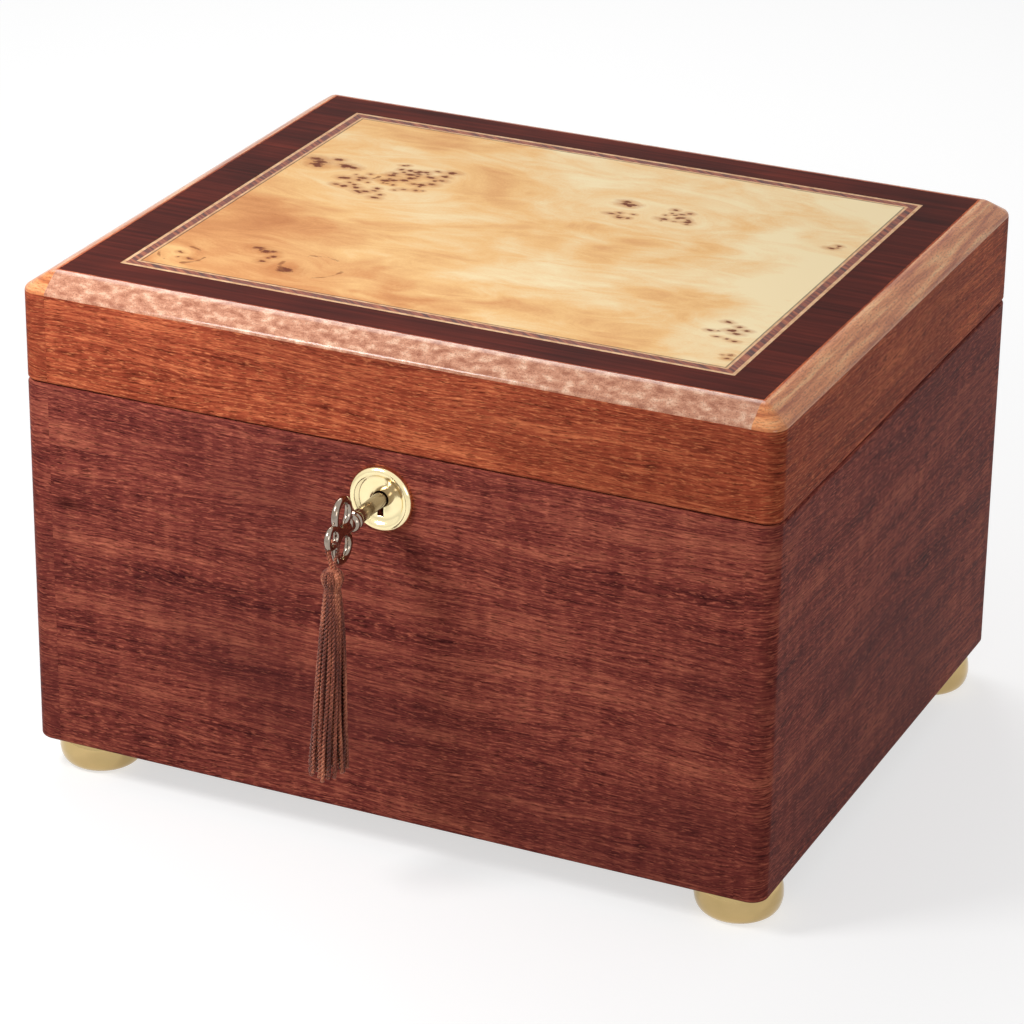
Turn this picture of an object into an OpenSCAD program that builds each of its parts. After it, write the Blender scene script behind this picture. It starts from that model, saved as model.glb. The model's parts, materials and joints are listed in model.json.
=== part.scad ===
// Cylinder music box: a chest with an inlaid lid, a lock with key and tassel, and a pinned-cylinder movement.
// X runs left to right, Y front to back, Z up. The origin is on the table under the middle of the case.

/* [Case] */
// Width of the case
case_w = 300; // [296:1:320]
// Depth of the case
case_d = 245; // [240:1:260]
// Height of the case below the lid
body_h = 148; // [146:1:160]
// Height of the lid
lid_h = 42; // [38:1:50]
// Thickness of the walls, and radius of the upright corners
wall = 11; // [10.5:0.5:12]
// Gap between the closed lid and the case
lid_gap = 0.5; // [0.3:0.1:1]
// Radius of the small rounded edges
edge_r = 1.2; // [0.6:0.2:2]
// Thickness of the bottom board
bottom_t = 6; // [4:1:10]

/* [Feet] */
// Largest diameter of a foot
foot_d = 33; // [28:1:36]
// Height of a foot
foot_h = 15; // [12:1:20]
// Foot centre in from the side of the case
foot_inset_x = 17; // [17:1:30]
// Foot centre in from the front and back of the case
foot_inset_y = 21; // [18:1:30]

/* [Lid] */
// Width of the sloping face of the moulding
mould_w = 8.6; // [6:0.2:8.6]
// Height of the sloping face of the moulding
mould_h = 5.8; // [4:0.2:8]
// Thickness of the board under the veneers
board_t = 8; // [6:1:10]
// Thickness of the veneers
veneer_t = 1; // [0.8:0.1:1.5]
// Inlay in from the sides of the case
inlay_x = 28; // [22:1:45]
// Inlay in from the front and back of the case
inlay_y = 26.5; // [22:0.5:45]
// Width of the outer pale string
string_w = 1.4; // [0.8:0.1:2.5]
// Width of the red-brown band
band_w = 3; // [2:0.2:6]
// Width of the inner pale string
inner_w = 1; // [0.6:0.1:2]
// Thickness of the lining inside the lid
lining_t = 2; // [1:0.5:3]

/* [Lock and key] */
// Lock centre, left or right of the middle
lock_x = -1; // [-10:1:10]
// Key axis below the top edge of the case
key_drop = 18; // [17:0.5:19]
// Diameter of the escutcheon
plate_d = 25; // [23:1:30]
// Outer diameter of the key's barrel
key_d = 5.5; // [5:0.1:6]
// Distance from the front of the case to the middle of the bow
key_reach = 31.5; // [30:0.5:40]
// Thickness of the bow
bow_t = 3; // [2.4:0.1:3]
// Travel of the bolt
bolt_travel = 5; // [4:0.5:5.5]
// Length of the tassel's skirt
skirt_l = 71; // [60:1:78]
// Diameter of the tassel's skirt at its foot
skirt_d = 15.6; // [12:0.2:20]
// Diameter of the tassel's cord
cord_d = 1.3; // [1:0.1:1.3]

/* [Hinges] */
// Length of a hinge
hinge_l = 48; // [42:1:60]
// Distance of each hinge from the middle
hinge_x = 88; // [75:1:95]
// Radius of the hinge knuckles
knuckle_r = 2.4; // [2.2:0.1:3]
// Radius of the hinge pins
hinge_pin_r = 1.2; // [1:0.1:1.3]
// Thickness of a hinge leaf
leaf_t = 1.4; // [1.2:0.1:1.8]

/* [Inside] */
// Top of the deck above the bottom of the case
deck_rise = 55; // [50:1:56]
// Thickness of the deck
deck_t = 8; // [6:1:10]
// Width of the compartment at each end
end_w = 38; // [37:1:40]
// Thickness of the partitions
part_t = 5; // [4:0.5:6]
// Height of the partitions above the deck
part_h = 78; // [77:1:80]
// Width of the glass frame's rails
rail_w = 12; // [8:1:14]
// Thickness of the glass
glass_t = 3; // [2:0.5:3]

/* [Movement] */
// Thickness of the bedplate
plate_t = 5; // [4:0.5:6]
// Height of the cylinder's axis above the bedplate
axis_h = 34; // [33:0.5:35]
// Radius of the cylinder
cyl_r = 18; // [16:0.5:18]
// Wall of the cylinder
cyl_wall = 1.5; // [1:0.1:2]
// Height of the pins above the cylinder
pin_h = 1; // [0.7:0.1:1]
// Radius of the pins
pin_r = 0.3; // [0.2:0.05:0.35]
// Pins on each track
pins_each = 3; // [1:1:4]
// Teeth of the comb
comb_teeth = 72; // [60:1:72]
// Thickness of the comb
comb_t = 2.2; // [1.8:0.1:2.6]
// Length of the longest tooth
tooth_long = 36; // [30:1:36]
// Length of the shortest tooth
tooth_short = 22; // [18:1:28]
// Gap between the comb's tips and the pins
tip_gap = 0.15; // [0.1:0.05:0.5]
// Radius of the spring barrel
barrel_r = 27; // [24:0.5:27]
// Running clearance of shafts in their bores
run_gap = 0.05; // [0.02:0.01:0.1]

/* [Hidden] */
$fn = 48;

// Heights of the case
base_z = foot_h;
seam_z = foot_h + body_h;
top_z = seam_z + lid_h;
in_x = case_w / 2 - wall;
in_y = case_d / 2 - wall;
deck_z = base_z + deck_rise;
part_z = deck_z + part_h;
board_z = top_z - veneer_t - board_t;
bay_x = in_x - end_w - part_t;
fit = 0.3;

// The movement's axes, in Y and Z
plate_z = deck_z + plate_t;
axis_z = plate_z + axis_h;
axis_y = 4;
mod_barrel = 1;
mod_gov = 0.5;
barrel_teeth = 60;
cyl_pinion_teeth = 12;
great_teeth = 80;
pinion_1_teeth = 16;
wheel_1_teeth = 48;
pinion_2_teeth = 12;
worm_wheel_teeth = 24;
barrel_y = axis_y + mod_barrel * (barrel_teeth + cyl_pinion_teeth) / 2;
dir_1 = -15;
dist_1 = mod_gov * (great_teeth + pinion_1_teeth) / 2;
gov1 = [axis_y + dist_1 * cos(dir_1), axis_z + dist_1 * sin(dir_1)];
dir_2 = 20;
dist_2 = mod_gov * (wheel_1_teeth + pinion_2_teeth) / 2;
gov2 = gov1 + dist_2 * [cos(dir_2), sin(dir_2)];
worm_y = gov2[0] + mod_gov * worm_wheel_teeth / 2 + 1.6;

// The movement's places along X
bed_x = bay_x - 5;
barrel_room = 49;
train_room = 25;
cyl_x = barrel_room - bed_x;
cyl_l = 2 * bed_x - barrel_room - train_room;
cock_t = 4;
left_cock_x = cyl_x - 4 - cock_t;
gear_t = 4;
gear_x = left_cock_x - 2.5 - gear_t;
drum_l = 29.5;
drum_x = gear_x - drum_l;
bracket_t = 3;
bracket_x = drum_x - 2 - bracket_t;
great_t = 2;
great_x = cyl_x + cyl_l + 2;
right_cock_x = cyl_x + cyl_l + 9;
gov_plate_t = 3;
wheel_1_x = right_cock_x + gov_plate_t + 3;
wheel_t = 2;
worm_x = wheel_1_x + 5.5;
outer_plate_x = worm_x + 3.5;
arbor_r = 2.5;
winding_r = 3;
gov_r = 1.2;
fan_pivot_r = 0.6;
lever_x = -in_x + end_w - 3;
lever_t = 5;
bed_front = -76;
bed_back = 74;

// The comb
comb_tip_y = axis_y - cyl_r - pin_h - tip_gap;
comb_back = 18;
comb_x = cyl_x + 1;
comb_l = cyl_l - 2;
comb_pitch = comb_l / comb_teeth;
comb_front_y = comb_tip_y - tooth_long - comb_back;
comb_z = axis_z - comb_t / 2;

// The lock and key
key_z = seam_z - key_drop;
front_y = -case_d / 2;
lock_w = 52;
lock_t = 8;
lock_h = 38;
lock_wall = 1.2;
lock_mid_y = -in_y - lock_t / 2;
staple_dx = 12.5;
staple_w = 2;
staple_y = 5;
staple_drop = 9;
hole_y = front_y - key_reach - 7.5;
lobe_r = 4.8;
lobe_hole_r = 2.2;
head_r = 4.3;
head_z = key_z - 15.4;
neck_drop = 5.8;
skirt_top = head_z - neck_drop;

// The hinges
hinge_y = case_d / 2 + knuckle_r + 0.2;
hinge_z = seam_z + lid_gap / 2;
leaf_d = 10;

// ---------------------------------------------------------------- shared shapes

function arc(c, r, a0, a1, n) =
    [for (i = [0 : n]) c + r * [cos(a0 + (a1 - a0) * i / n), sin(a0 + (a1 - a0) * i / n)]];

function curve(a, b, c, n) =
    [for (i = [0 : n]) let (t = i / n) (1 - t) * (1 - t) * a + 2 * t * (1 - t) * b + t * t * c];

// Cross-section of a case wall: x is 0 at the inner face, y is height
function case_section() = concat([[0, 0]],
    arc([wall - edge_r, edge_r], edge_r, -90, 0, 3),
    arc([wall - edge_r, body_h - edge_r], edge_r, 0, 90, 3),
    [[0, body_h]]);

// Cross-section of a lid wall, with the sloping moulding at its top
function lid_section() =
    let (h = lid_h - lid_gap,
         low = [wall, h - mould_h],
         high = [wall - mould_w, h],
         along = (high - low) / norm(high - low),
         soft = 2.2)
    concat([[0, 0]],
        arc([wall - edge_r, edge_r], edge_r, -90, 0, 3),
        curve(low - [0, 1.4], low, low + 1.4 * along, 3),
        curve(high - soft * along, high, high - [soft, 0], 4),
        [[0, h]]);

module front_run(section, z) {
    translate([-in_x, -in_y, z]) mirror([0, 1, 0]) rotate([90, 0, 90])
        linear_extrude(2 * in_x) polygon(section);
}

module right_run(section, z) {
    translate([in_x, in_y, z]) rotate([90, 0, 0])
        linear_extrude(2 * in_y) polygon(section);
}

module corner_runs(section, z) {
    for (mx = [0, 1], my = [0, 1])
        mirror([mx, 0, 0]) mirror([0, my, 0]) translate([in_x, in_y, z])
            rotate_extrude(angle = 90) polygon(section);
}

// A flat outline in Y and Z, drawn out along X
module slab_x(x, t) {
    translate([x, 0, 0]) rotate([90, 0, 90]) linear_extrude(t) children();
}

module rod_x(x0, x1, y, z, r) {
    translate([x0, y, z]) rotate([0, 90, 0]) cylinder(h = x1 - x0, r = r);
}

// A flat outline in X and Z, drawn out towards the back from y
module slab_y(y, t) {
    translate([0, y + t, 0]) rotate([90, 0, 0]) linear_extrude(t) children();
}

module block(x0, x1, y0, y1, z0, z1) {
    translate([x0, y0, z0]) cube([x1 - x0, y1 - y0, z1 - z0]);
}

// A flat frame between two rectangles
module flat_ring(x_out, y_out, x_in, y_in, z, t) {
    difference() {
        block(-x_out, x_out, -y_out, y_out, z, z + t);
        block(-x_in, x_in, -y_in, y_in, z - 1, z + t + 1);
    }
}

// ---------------------------------------------------------------- gears

function involute_deg(r, base) =
    let (a = acos(min(1, base / r))) (tan(a) * 180 / PI) - a;

// Half the angle that a tooth covers at radius r
function half_tooth(teeth, m, r, play) =
    let (base = m * teeth / 2 * cos(20),
         q = max(r, base))
    90 / teeth - play / (m * teeth) * 180 / PI
        + involute_deg(m * teeth / 2, base) - involute_deg(q, base);

function gear_points(teeth, m, add, ded, play) =
    let (pitch = m * teeth / 2,
         root = pitch - ded * m,
         tip = pitch + add * m,
         base = pitch * cos(20),
         low = max(root + 0.01, min(base, pitch - 0.2 * m)),
         mid = (pitch + tip) / 2,
         radii = [root, low, pitch, mid, tip])
    [for (k = [0 : teeth - 1])
        each concat(
            [for (i = [0 : 4]) let (a = k * 360 / teeth - half_tooth(teeth, m, radii[i], play))
                radii[i] * [cos(a), sin(a)]],
            [for (i = [4 : -1 : 0]) let (a = k * 360 / teeth + half_tooth(teeth, m, radii[i], play))
                radii[i] * [cos(a), sin(a)]])];

tooth_play = 0.06;
wheel_add = 0.7;
pinion_add = 0.9;
dedendum = 1.15;

module wheel_2d(teeth, m, turn) {
    rotate(turn) polygon(gear_points(teeth, m, wheel_add, dedendum, tooth_play * m));
}

module pinion_2d(teeth, m, turn) {
    rotate(turn) polygon(gear_points(teeth, m, pinion_add, dedendum - 0.1, tooth_play * m));
}

// Rotation that puts a gap of the driven gear over a tooth of the driving one
function mesh_turn(dir, drive_teeth, driven_teeth, drive_turn) =
    dir + 180 + 180 / driven_teeth - (drive_turn - dir) * drive_teeth / driven_teeth;

// Crossings that lighten a wheel
module crossings(r_in, r_out, arms, arm_w) {
    difference() {
        difference() {
            circle(r_out);
            circle(r_in);
        }
        for (i = [0 : arms - 1])
            rotate(i * 360 / arms) translate([0, -arm_w / 2]) square([r_out + 1, arm_w]);
    }
}

// ---------------------------------------------------------------- case

module keyhole_2d(grow) {
    circle(3.2 + grow);
    translate([-1.2 - grow, -6.8 - grow]) square([2.4 + 2 * grow, 6.8 + grow]);
}

module case_front() {
    color("#6b2a20") difference() {
        front_run(case_section(), base_z);
        block(lock_x - lock_w / 2, lock_x + lock_w / 2, -in_y - lock_t, -in_y + 1,
              seam_z - lock_h, seam_z + 1);
        translate([lock_x, 0, key_z]) slab_y(front_y - 1, wall) keyhole_2d(0);
    }
}

module case_back() {
    color("#6b2a20") difference() {
        mirror([0, 1, 0]) front_run(case_section(), base_z);
        leaf_blocks(seam_z - leaf_t, seam_z + 1);
    }
}

module case_right() {
    color("#6b2a20") right_run(case_section(), base_z);
}

module case_left() {
    color("#6b2a20") mirror([1, 0, 0]) right_run(case_section(), base_z);
}

module case_posts() {
    color("#3f1612") corner_runs(case_section(), base_z);
}

module case_bottom() {
    color("#8a5a38") difference() {
        block(-in_x, in_x, -in_y, in_y, base_z, base_z + bottom_t);
        at_feet() translate([0, 0, base_z - 1]) cylinder(h = bottom_t + 2, r = 1.5);
    }
}

module at_feet() {
    for (sx = [-1, 1], sy = [-1, 1])
        translate([sx * (case_w / 2 - foot_inset_x), sy * (case_d / 2 - foot_inset_y), 0])
            children();
}

module feet() {
    r = foot_d / 2;
    h = foot_h;
    color("#c9a54a") at_feet() difference() {
        rotate_extrude() polygon(concat([[0, 0]],
            curve([0.62 * r, 0], [0.97 * r, 0], [r, 0.45 * h], 6),
            curve([r, 0.5 * h], [r, 0.8 * h], [0.9 * r, 0.9 * h], 4),
            [[0.86 * r, 0.9 * h], [0.86 * r, h], [0, h]]));
        translate([0, 0, -1]) cylinder(h = h + 2, r = 1.5);
        translate([0, 0, -1]) cylinder(h = 5, r = 3.4);
    }
}

module foot_screws() {
    color("#b8b0a0") at_feet() {
        translate([0, 0, 4]) cylinder(h = base_z + bottom_t - 4, r = 1.5);
        difference() {
            translate([0, 0, 1.5]) cylinder(h = 2.5, r = 3);
            translate([-4, -0.4, 1]) cube([8, 0.8, 1.2]);
        }
    }
}

module deck() {
    color("#7a4a2c") block(-in_x, in_x, -in_y, in_y, deck_z - deck_t, deck_z);
}

module deck_battens() {
    batten = 12;
    color("#8a5a38") for (s = [0, 1]) mirror([s, 0, 0])
        block(in_x - batten, in_x, -in_y, in_y, deck_z - deck_t - batten, deck_z - deck_t);
}

module partition_left() {
    color("#5c2a1e") difference() {
        block(-bay_x - part_t, -bay_x, -in_y, in_y, deck_z, part_z);
        rod_x(-bay_x - part_t - 1, -bay_x + 1, barrel_y, axis_z, winding_r + 1);
    }
}

module partition_right() {
    color("#5c2a1e") difference() {
        block(bay_x, bay_x + part_t, -in_y, in_y, deck_z, part_z);
        rod_x(bay_x - 1, bay_x + part_t + 1, play_y, play_z, bush_r);
    }
}

frame_t = 6;
module glass_frame() {
    x_out = bay_x + part_t;
    y_out = in_y - fit;
    color("#4a1c15") difference() {
        flat_ring(x_out, y_out, x_out - rail_w, y_out - rail_w, part_z, frame_t);
        block(-x_out + rail_w / 2, x_out - rail_w / 2, -y_out + rail_w / 2, y_out - rail_w / 2,
              part_z + frame_t - glass_t - 1, part_z + frame_t + 1);
    }
}

module glass_pane() {
    x_out = bay_x + part_t - rail_w / 2 - fit;
    y_out = in_y - rail_w / 2 - 2 * fit;
    z = part_z + frame_t - glass_t - 1;
    color([0.8, 0.9, 0.9, 0.35]) block(-x_out, x_out, -y_out, y_out, z, z + glass_t);
}

// ---------------------------------------------------------------- lid

lid_z = seam_z + lid_gap;

module lid_front() {
    color("#7a3322") difference() {
        front_run(lid_section(), lid_z);
        strike_block(lid_z - 1);
    }
}

module lid_back() {
    color("#7a3322") difference() {
        mirror([0, 1, 0]) front_run(lid_section(), lid_z);
        leaf_blocks(lid_z - 1, lid_z + leaf_t);
    }
}

module lid_right() {
    color("#7a3322") right_run(lid_section(), lid_z);
}

module lid_left() {
    color("#7a3322") mirror([1, 0, 0]) right_run(lid_section(), lid_z);
}

module lid_corners() {
    color("#6b2a20") corner_runs(lid_section(), lid_z);
}

module lid_board() {
    color("#8a5a38") block(-in_x, in_x, -in_y, in_y, board_z, board_z + board_t);
}

inlay_hx = case_w / 2 - inlay_x;
inlay_hy = case_d / 2 - inlay_y;
band_in = string_w;
inner_in = string_w + band_w;
panel_in = string_w + band_w + inner_w;

module veneer_ring(out, in) {
    flat_ring(inlay_hx - out, inlay_hy - out, inlay_hx - in, inlay_hy - in,
              top_z - veneer_t, veneer_t);
}

module border_veneer() {
    color("#24100e") flat_ring(in_x, in_y, inlay_hx, inlay_hy, top_z - veneer_t, veneer_t);
}

module outer_string() {
    color("#d9bd86") veneer_ring(0, band_in);
}

module inlay_band() {
    color("#7a3a24") veneer_ring(band_in, inner_in);
}

module inner_string() {
    color("#d9bd86") veneer_ring(inner_in, panel_in);
}

module burl_panel() {
    x = inlay_hx - panel_in;
    y = inlay_hy - panel_in;
    color("#cfa865") block(-x, x, -y, y, top_z - veneer_t, top_z);
}

module lid_lining() {
    color("#5a1420") block(-in_x, in_x, -in_y, in_y, board_z - lining_t, board_z);
}

// ---------------------------------------------------------------- hinges

module at_hinges() {
    for (s = [-1, 1]) translate([s * hinge_x, 0, 0]) children();
}

module leaf_blocks(z0, z1) {
    at_hinges() block(-hinge_l / 2, hinge_l / 2, case_d / 2 - leaf_d, case_d / 2 + 1, z0, z1);
}

knuckle_gap = 0.3;
third = hinge_l / 3;

module hinge_case_leaves() {
    color("#c2a055") at_hinges() difference() {
        union() {
            block(-hinge_l / 2, hinge_l / 2, case_d / 2 - leaf_d, case_d / 2, seam_z - leaf_t, seam_z);
            block(-third / 2, third / 2, case_d / 2, hinge_y, seam_z - leaf_t, seam_z);
            rod_x(-third / 2, third / 2, hinge_y, hinge_z, knuckle_r);
        }
        rod_x(-third, third, hinge_y, hinge_z, hinge_pin_r);
    }
}

module hinge_lid_leaves() {
    color("#c2a055") at_hinges() difference() {
        union() {
            block(-hinge_l / 2, hinge_l / 2, case_d / 2 - leaf_d, case_d / 2, lid_z, lid_z + leaf_t);
            for (s = [0, 1]) mirror([s, 0, 0]) {
                block(third / 2 + knuckle_gap, hinge_l / 2, case_d / 2 - 1, hinge_y,
                      lid_z, lid_z + leaf_t);
                rod_x(third / 2 + knuckle_gap, hinge_l / 2, hinge_y, hinge_z, knuckle_r);
            }
        }
        rod_x(-hinge_l, hinge_l, hinge_y, hinge_z, hinge_pin_r + run_gap);
    }
}

module hinge_pins() {
    color("#a88844") at_hinges()
        rod_x(-hinge_l / 2 - 0.5, hinge_l / 2 + 0.5, hinge_y, hinge_z, hinge_pin_r);
}

// ---------------------------------------------------------------- lock, key and tassel

strike_w = 44;
strike_t = 1.5;
slot_gap = 0.7;
post_r = 1.2;

module strike_block(z0) {
    block(lock_x - strike_w / 2, lock_x + strike_w / 2, lock_mid_y - lock_t / 2,
          lock_mid_y + lock_t / 2 + 1, z0, lid_z + strike_t);
}

module strike_plate() {
    color("#c2a055") translate([lock_x, lock_mid_y, 0]) {
        block(-strike_w / 2, strike_w / 2, -lock_t / 2, lock_t / 2, lid_z, lid_z + strike_t);
        for (s = [-1, 1]) translate([s * staple_dx, 0, 0]) difference() {
            block(-staple_w / 2, staple_w / 2, -staple_y / 2, staple_y / 2,
                  seam_z - staple_drop, lid_z);
            block(-staple_w, staple_w, -staple_y / 2 + 0.8, staple_y / 2 - 0.8,
                  seam_z - staple_drop + 1, seam_z - 2.4);
        }
    }
}

module lock_case() {
    color("#b89a50") translate([lock_x, lock_mid_y, 0]) {
        difference() {
            block(-lock_w / 2, lock_w / 2, -lock_t / 2, lock_t / 2, seam_z - lock_h, seam_z);
            block(-lock_w / 2 + lock_wall, lock_w / 2 - lock_wall,
                  -lock_t / 2 + lock_wall, lock_t / 2 - lock_wall,
                  seam_z - lock_h + lock_wall, seam_z - lock_wall);
            for (s = [-1, 1])
                block(s * staple_dx - staple_w / 2 - slot_gap, s * staple_dx + staple_w / 2 + slot_gap,
                      -staple_y / 2 - 0.2, staple_y / 2 + 0.2, seam_z - 2 * lock_wall, seam_z + 1);
            translate([0, 0, key_z]) slab_y(-lock_t / 2 - 1, 2 * lock_wall) keyhole_2d(0);
        }
        translate([0, lock_t / 2 - lock_wall, key_z]) rotate([90, 0, 0])
            cylinder(h = lock_t, r = post_r);
    }
}

bolt_z = key_z + key_d / 2 + 2.5;
bolt_bar = 3;
finger_z0 = seam_z - 7.2;
finger_z1 = seam_z - 3.2;

module lock_bolt() {
    t = 2.2;
    leg = 3;
    leg_x = -3.2 - leg;
    finger_x = staple_w / 2 + 0.5;
    post_x = finger_x + bolt_travel;
    post_w = 2.5;
    color("#9a9080") translate([lock_x, lock_mid_y, 0]) slab_y(-t / 2, t) {
        translate([leg_x, bolt_z]) square([staple_dx + post_x + post_w - leg_x, bolt_bar]);
        for (s = [-1, 1]) translate([s * staple_dx, 0]) {
            translate([finger_x, finger_z0])
                square([bolt_travel + post_w, finger_z1 - finger_z0]);
            translate([post_x, bolt_z]) square([post_w, finger_z1 - bolt_z]);
        }
        translate([leg_x, key_z - 4]) square([leg, bolt_z + bolt_bar - key_z + 4]);
    }
}

module escutcheon() {
    r = plate_d / 2;
    color("#d4b050") difference() {
        translate([lock_x, front_y, key_z]) rotate([90, 0, 0]) rotate_extrude()
            polygon(concat([[0, 0], [r, 0]],
                curve([r, 0.6], [r - 0.1, 2.4], [r - 1.8, 2.7], 4),
                curve([r - 2, 2.7], [r - 3.2, 2.6], [r - 3.8, 1.7], 3),
                [[0, 1.4]]));
        translate([lock_x, 0, key_z]) slab_y(front_y - 4, 5) keyhole_2d(0);
    }
}

key_tip_y = -in_y - lock_wall - 0.6;
module key() {
    bow_y = front_y - key_reach;
    collar_y = bow_y + 7.5;
    color("#8d8577") difference() {
        union() {
            translate([lock_x, key_tip_y, key_z]) rotate([90, 0, 0])
                cylinder(h = key_tip_y - collar_y, r = key_d / 2);
            translate([lock_x, collar_y, key_z]) rotate([-90, 0, 0]) rotate_extrude()
                polygon(concat([[0, -1.5], [2.4, -1.5]], arc([2.6, 0.3], 1.3, -70, 70, 5),
                    [[2.9, 1.9]], arc([2.5, 3], 1, -60, 60, 4), [[0, 4.2]]));
            translate([lock_x - bow_t / 2, 0, 0]) slab_x(0, bow_t) difference() {
                union() {
                    for (s = [-1, 1]) translate([bow_y, key_z + s * 6.3]) circle(6.7);
                    translate([hole_y, key_z]) circle(lobe_r);
                    translate([bow_y + 5, key_z]) circle(3.2);
                }
                for (s = [-1, 1]) translate([bow_y, key_z + s * 6.3]) circle(3.7);
                translate([hole_y, key_z]) circle(lobe_hole_r);
            }
            block(lock_x - 0.9, lock_x + 0.9, -in_y - lock_t + lock_wall + 0.6, key_tip_y - 0.4,
                  key_z - 6, key_z - 1);
        }
        translate([lock_x, key_tip_y + 1, key_z]) rotate([90, 0, 0])
            cylinder(h = 9, r = post_r + run_gap);
    }
}

// Centre line of the tassel's cord, through the ring of the bow: x and height from the key's axis
loop_side = [[0.7, -10.9], [0.9, -9.4], [1.3, -7.9], [1.8, -6.4], [2.2, -5], [2.4, -3.6], [2.4, -2.5],
             [2.2, -1.8], [1.8, -1.35], [1, -1.2]];
loop_line = concat(
    [for (p = loop_side) [lock_x - p[0], hole_y, key_z + p[1]]],
    [[lock_x, hole_y, key_z - 1.2]],
    [for (i = [len(loop_side) - 1 : -1 : 0]) [lock_x + loop_side[i][0], hole_y, key_z + loop_side[i][1]]]);

// A round tube of eight sides along a line that stays in one upright plane
module cord(line, r) {
    n = len(line);
    sides = 8;
    points = [for (i = [0 : n - 1])
        let (d = line[min(i + 1, n - 1)] - line[max(i - 1, 0)],
             u = d / norm(d),
             v = [0, 1, 0],
             w = cross(u, v))
        for (k = [0 : sides - 1]) line[i] + r * (cos(k * 45) * v + sin(k * 45) * w)];
    skin = [for (i = [0 : n - 2], k = [0 : sides - 1])
        [(i + 1) * sides + k, (i + 1) * sides + (k + 1) % sides,
         i * sides + (k + 1) % sides, i * sides + k]];
    ends = [[for (k = [0 : sides - 1]) k], [for (k = [sides - 1 : -1 : 0]) (n - 1) * sides + k]];
    polyhedron(points, concat(skin, ends));
}

module tassel_loop() {
    color("#6a3a28") cord(loop_line, cord_d / 2);
}

module tassel_head() {
    color("#6a3a28") translate([lock_x, hole_y, head_z]) rotate_extrude()
        polygon(concat([[0, -neck_drop], [3.9, -neck_drop]],
            curve([3.9, -neck_drop], [4.4, 0.9 - neck_drop], [3.5, 1.8 - neck_drop], 3),
            arc([0, 0], head_r, -36, 86, 9), [[0, head_r]]));
}

module tassel_skirt() {
    color("#6a3a28") translate([lock_x, hole_y, skirt_top]) rotate_extrude()
        polygon([[0, 0], [3.9, 0], [5, -5], [5.6, -12], [skirt_d / 2 - 0.9, -0.6 * skirt_l],
                 [skirt_d / 2, -0.93 * skirt_l], [skirt_d / 2 - 1.2, -skirt_l - 1],
                 [0, -skirt_l - 2]]);
}

// ---------------------------------------------------------------- movement

bed_screw_x = bed_x - 8;
bed_screw_in = 5.5;
module at_bed_screws() {
    for (x = [-bed_screw_x, bed_screw_x], y = [bed_front + bed_screw_in, bed_back - bed_screw_in])
        translate([x, y, plate_z]) children();
}

module bedplate() {
    color("#c9a95a") difference() {
        block(-bed_x, bed_x, bed_front, bed_back, deck_z, plate_z);
        at_bed_screws() translate([0, 0, -plate_t - 1]) cylinder(h = plate_t + 2, r = 2.5);
    }
}

module screw_head(r, h, slot) {
    difference() {
        cylinder(h = h, r = r);
        translate([-r - 1, -slot / 2, 0.45 * h]) cube([2 * r + 2, slot, h]);
    }
}

module movement_screws() {
    color("#4f5b8a") {
        at_bed_screws() {
            screw_head(4.2, 2.6, 1);
            translate([0, 0, -plate_t]) cylinder(h = plate_t, r = 2.5);
        }
        at_comb_screws() {
            screw_head(3.6, 2.4, 0.8);
            translate([0, 0, -comb_t]) cylinder(h = comb_t, r = 2);
        }
    }
}

// A cock stands on the bedplate and carries bores: a foot, a web and round bosses
module cock(x, t, bosses, foot_y0, foot_y1) {
    slab_x(x, t) translate([foot_y0, plate_z]) square([foot_y1 - foot_y0, 6]);
    for (b = bosses) {
        slab_x(x, t) translate([b[0], b[1]]) circle(b[2]);
        slab_x(x, t) polygon([[b[0] - 0.95 * b[2], b[1]], [b[0] + 0.95 * b[2], b[1]],
                              [b[0] + b[2] + 3, plate_z + 1], [b[0] - b[2] - 3, plate_z + 1]]);
    }
}

module left_cock() {
    color("#c9a95a") difference() {
        cock(left_cock_x, cock_t, [[axis_y, axis_z, 8], [barrel_y, axis_z, 8]],
             axis_y - 14, barrel_y + 14);
        rod_x(left_cock_x - 1, left_cock_x + cock_t + 1, axis_y, axis_z, arbor_r + run_gap);
        rod_x(left_cock_x - 1, left_cock_x + cock_t + 1, barrel_y, axis_z, winding_r + run_gap);
    }
}

module right_cock() {
    x1 = right_cock_x + gov_plate_t;
    color("#c9a95a") difference() {
        cock(right_cock_x, gov_plate_t,
             [[axis_y, axis_z, 8], [gov1[0], gov1[1], 5], [gov2[0], gov2[1], 4.5]],
             axis_y - 14, gov2[0] + 12);
        rod_x(right_cock_x - 1, x1 + 1, axis_y, axis_z, arbor_r + run_gap);
        rod_x(right_cock_x - 1, x1 + 1, gov1[0], gov1[1], gov_r + run_gap);
        rod_x(right_cock_x - 1, x1 + 1, gov2[0], gov2[1], gov_r + run_gap);
    }
}

module governor_plate() {
    x1 = outer_plate_x + gov_plate_t;
    color("#d2b465") difference() {
        cock(outer_plate_x, gov_plate_t, [[gov1[0], gov1[1], 5], [gov2[0], gov2[1], 4.5]],
             gov1[0] - 10, gov2[0] + 12);
        rod_x(outer_plate_x - 1, x1 + 1, gov1[0], gov1[1], gov_r + run_gap);
        rod_x(outer_plate_x - 1, x1 + 1, gov2[0], gov2[1], gov_r + run_gap);
    }
}

module barrel_bracket() {
    color("#c9a95a") difference() {
        cock(bracket_x, bracket_t, [[barrel_y, axis_z, 9]], barrel_y - 18, barrel_y + 18);
        rod_x(bracket_x - 1, bracket_x + bracket_t + 1, barrel_y, axis_z, winding_r + run_gap);
    }
}

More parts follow.
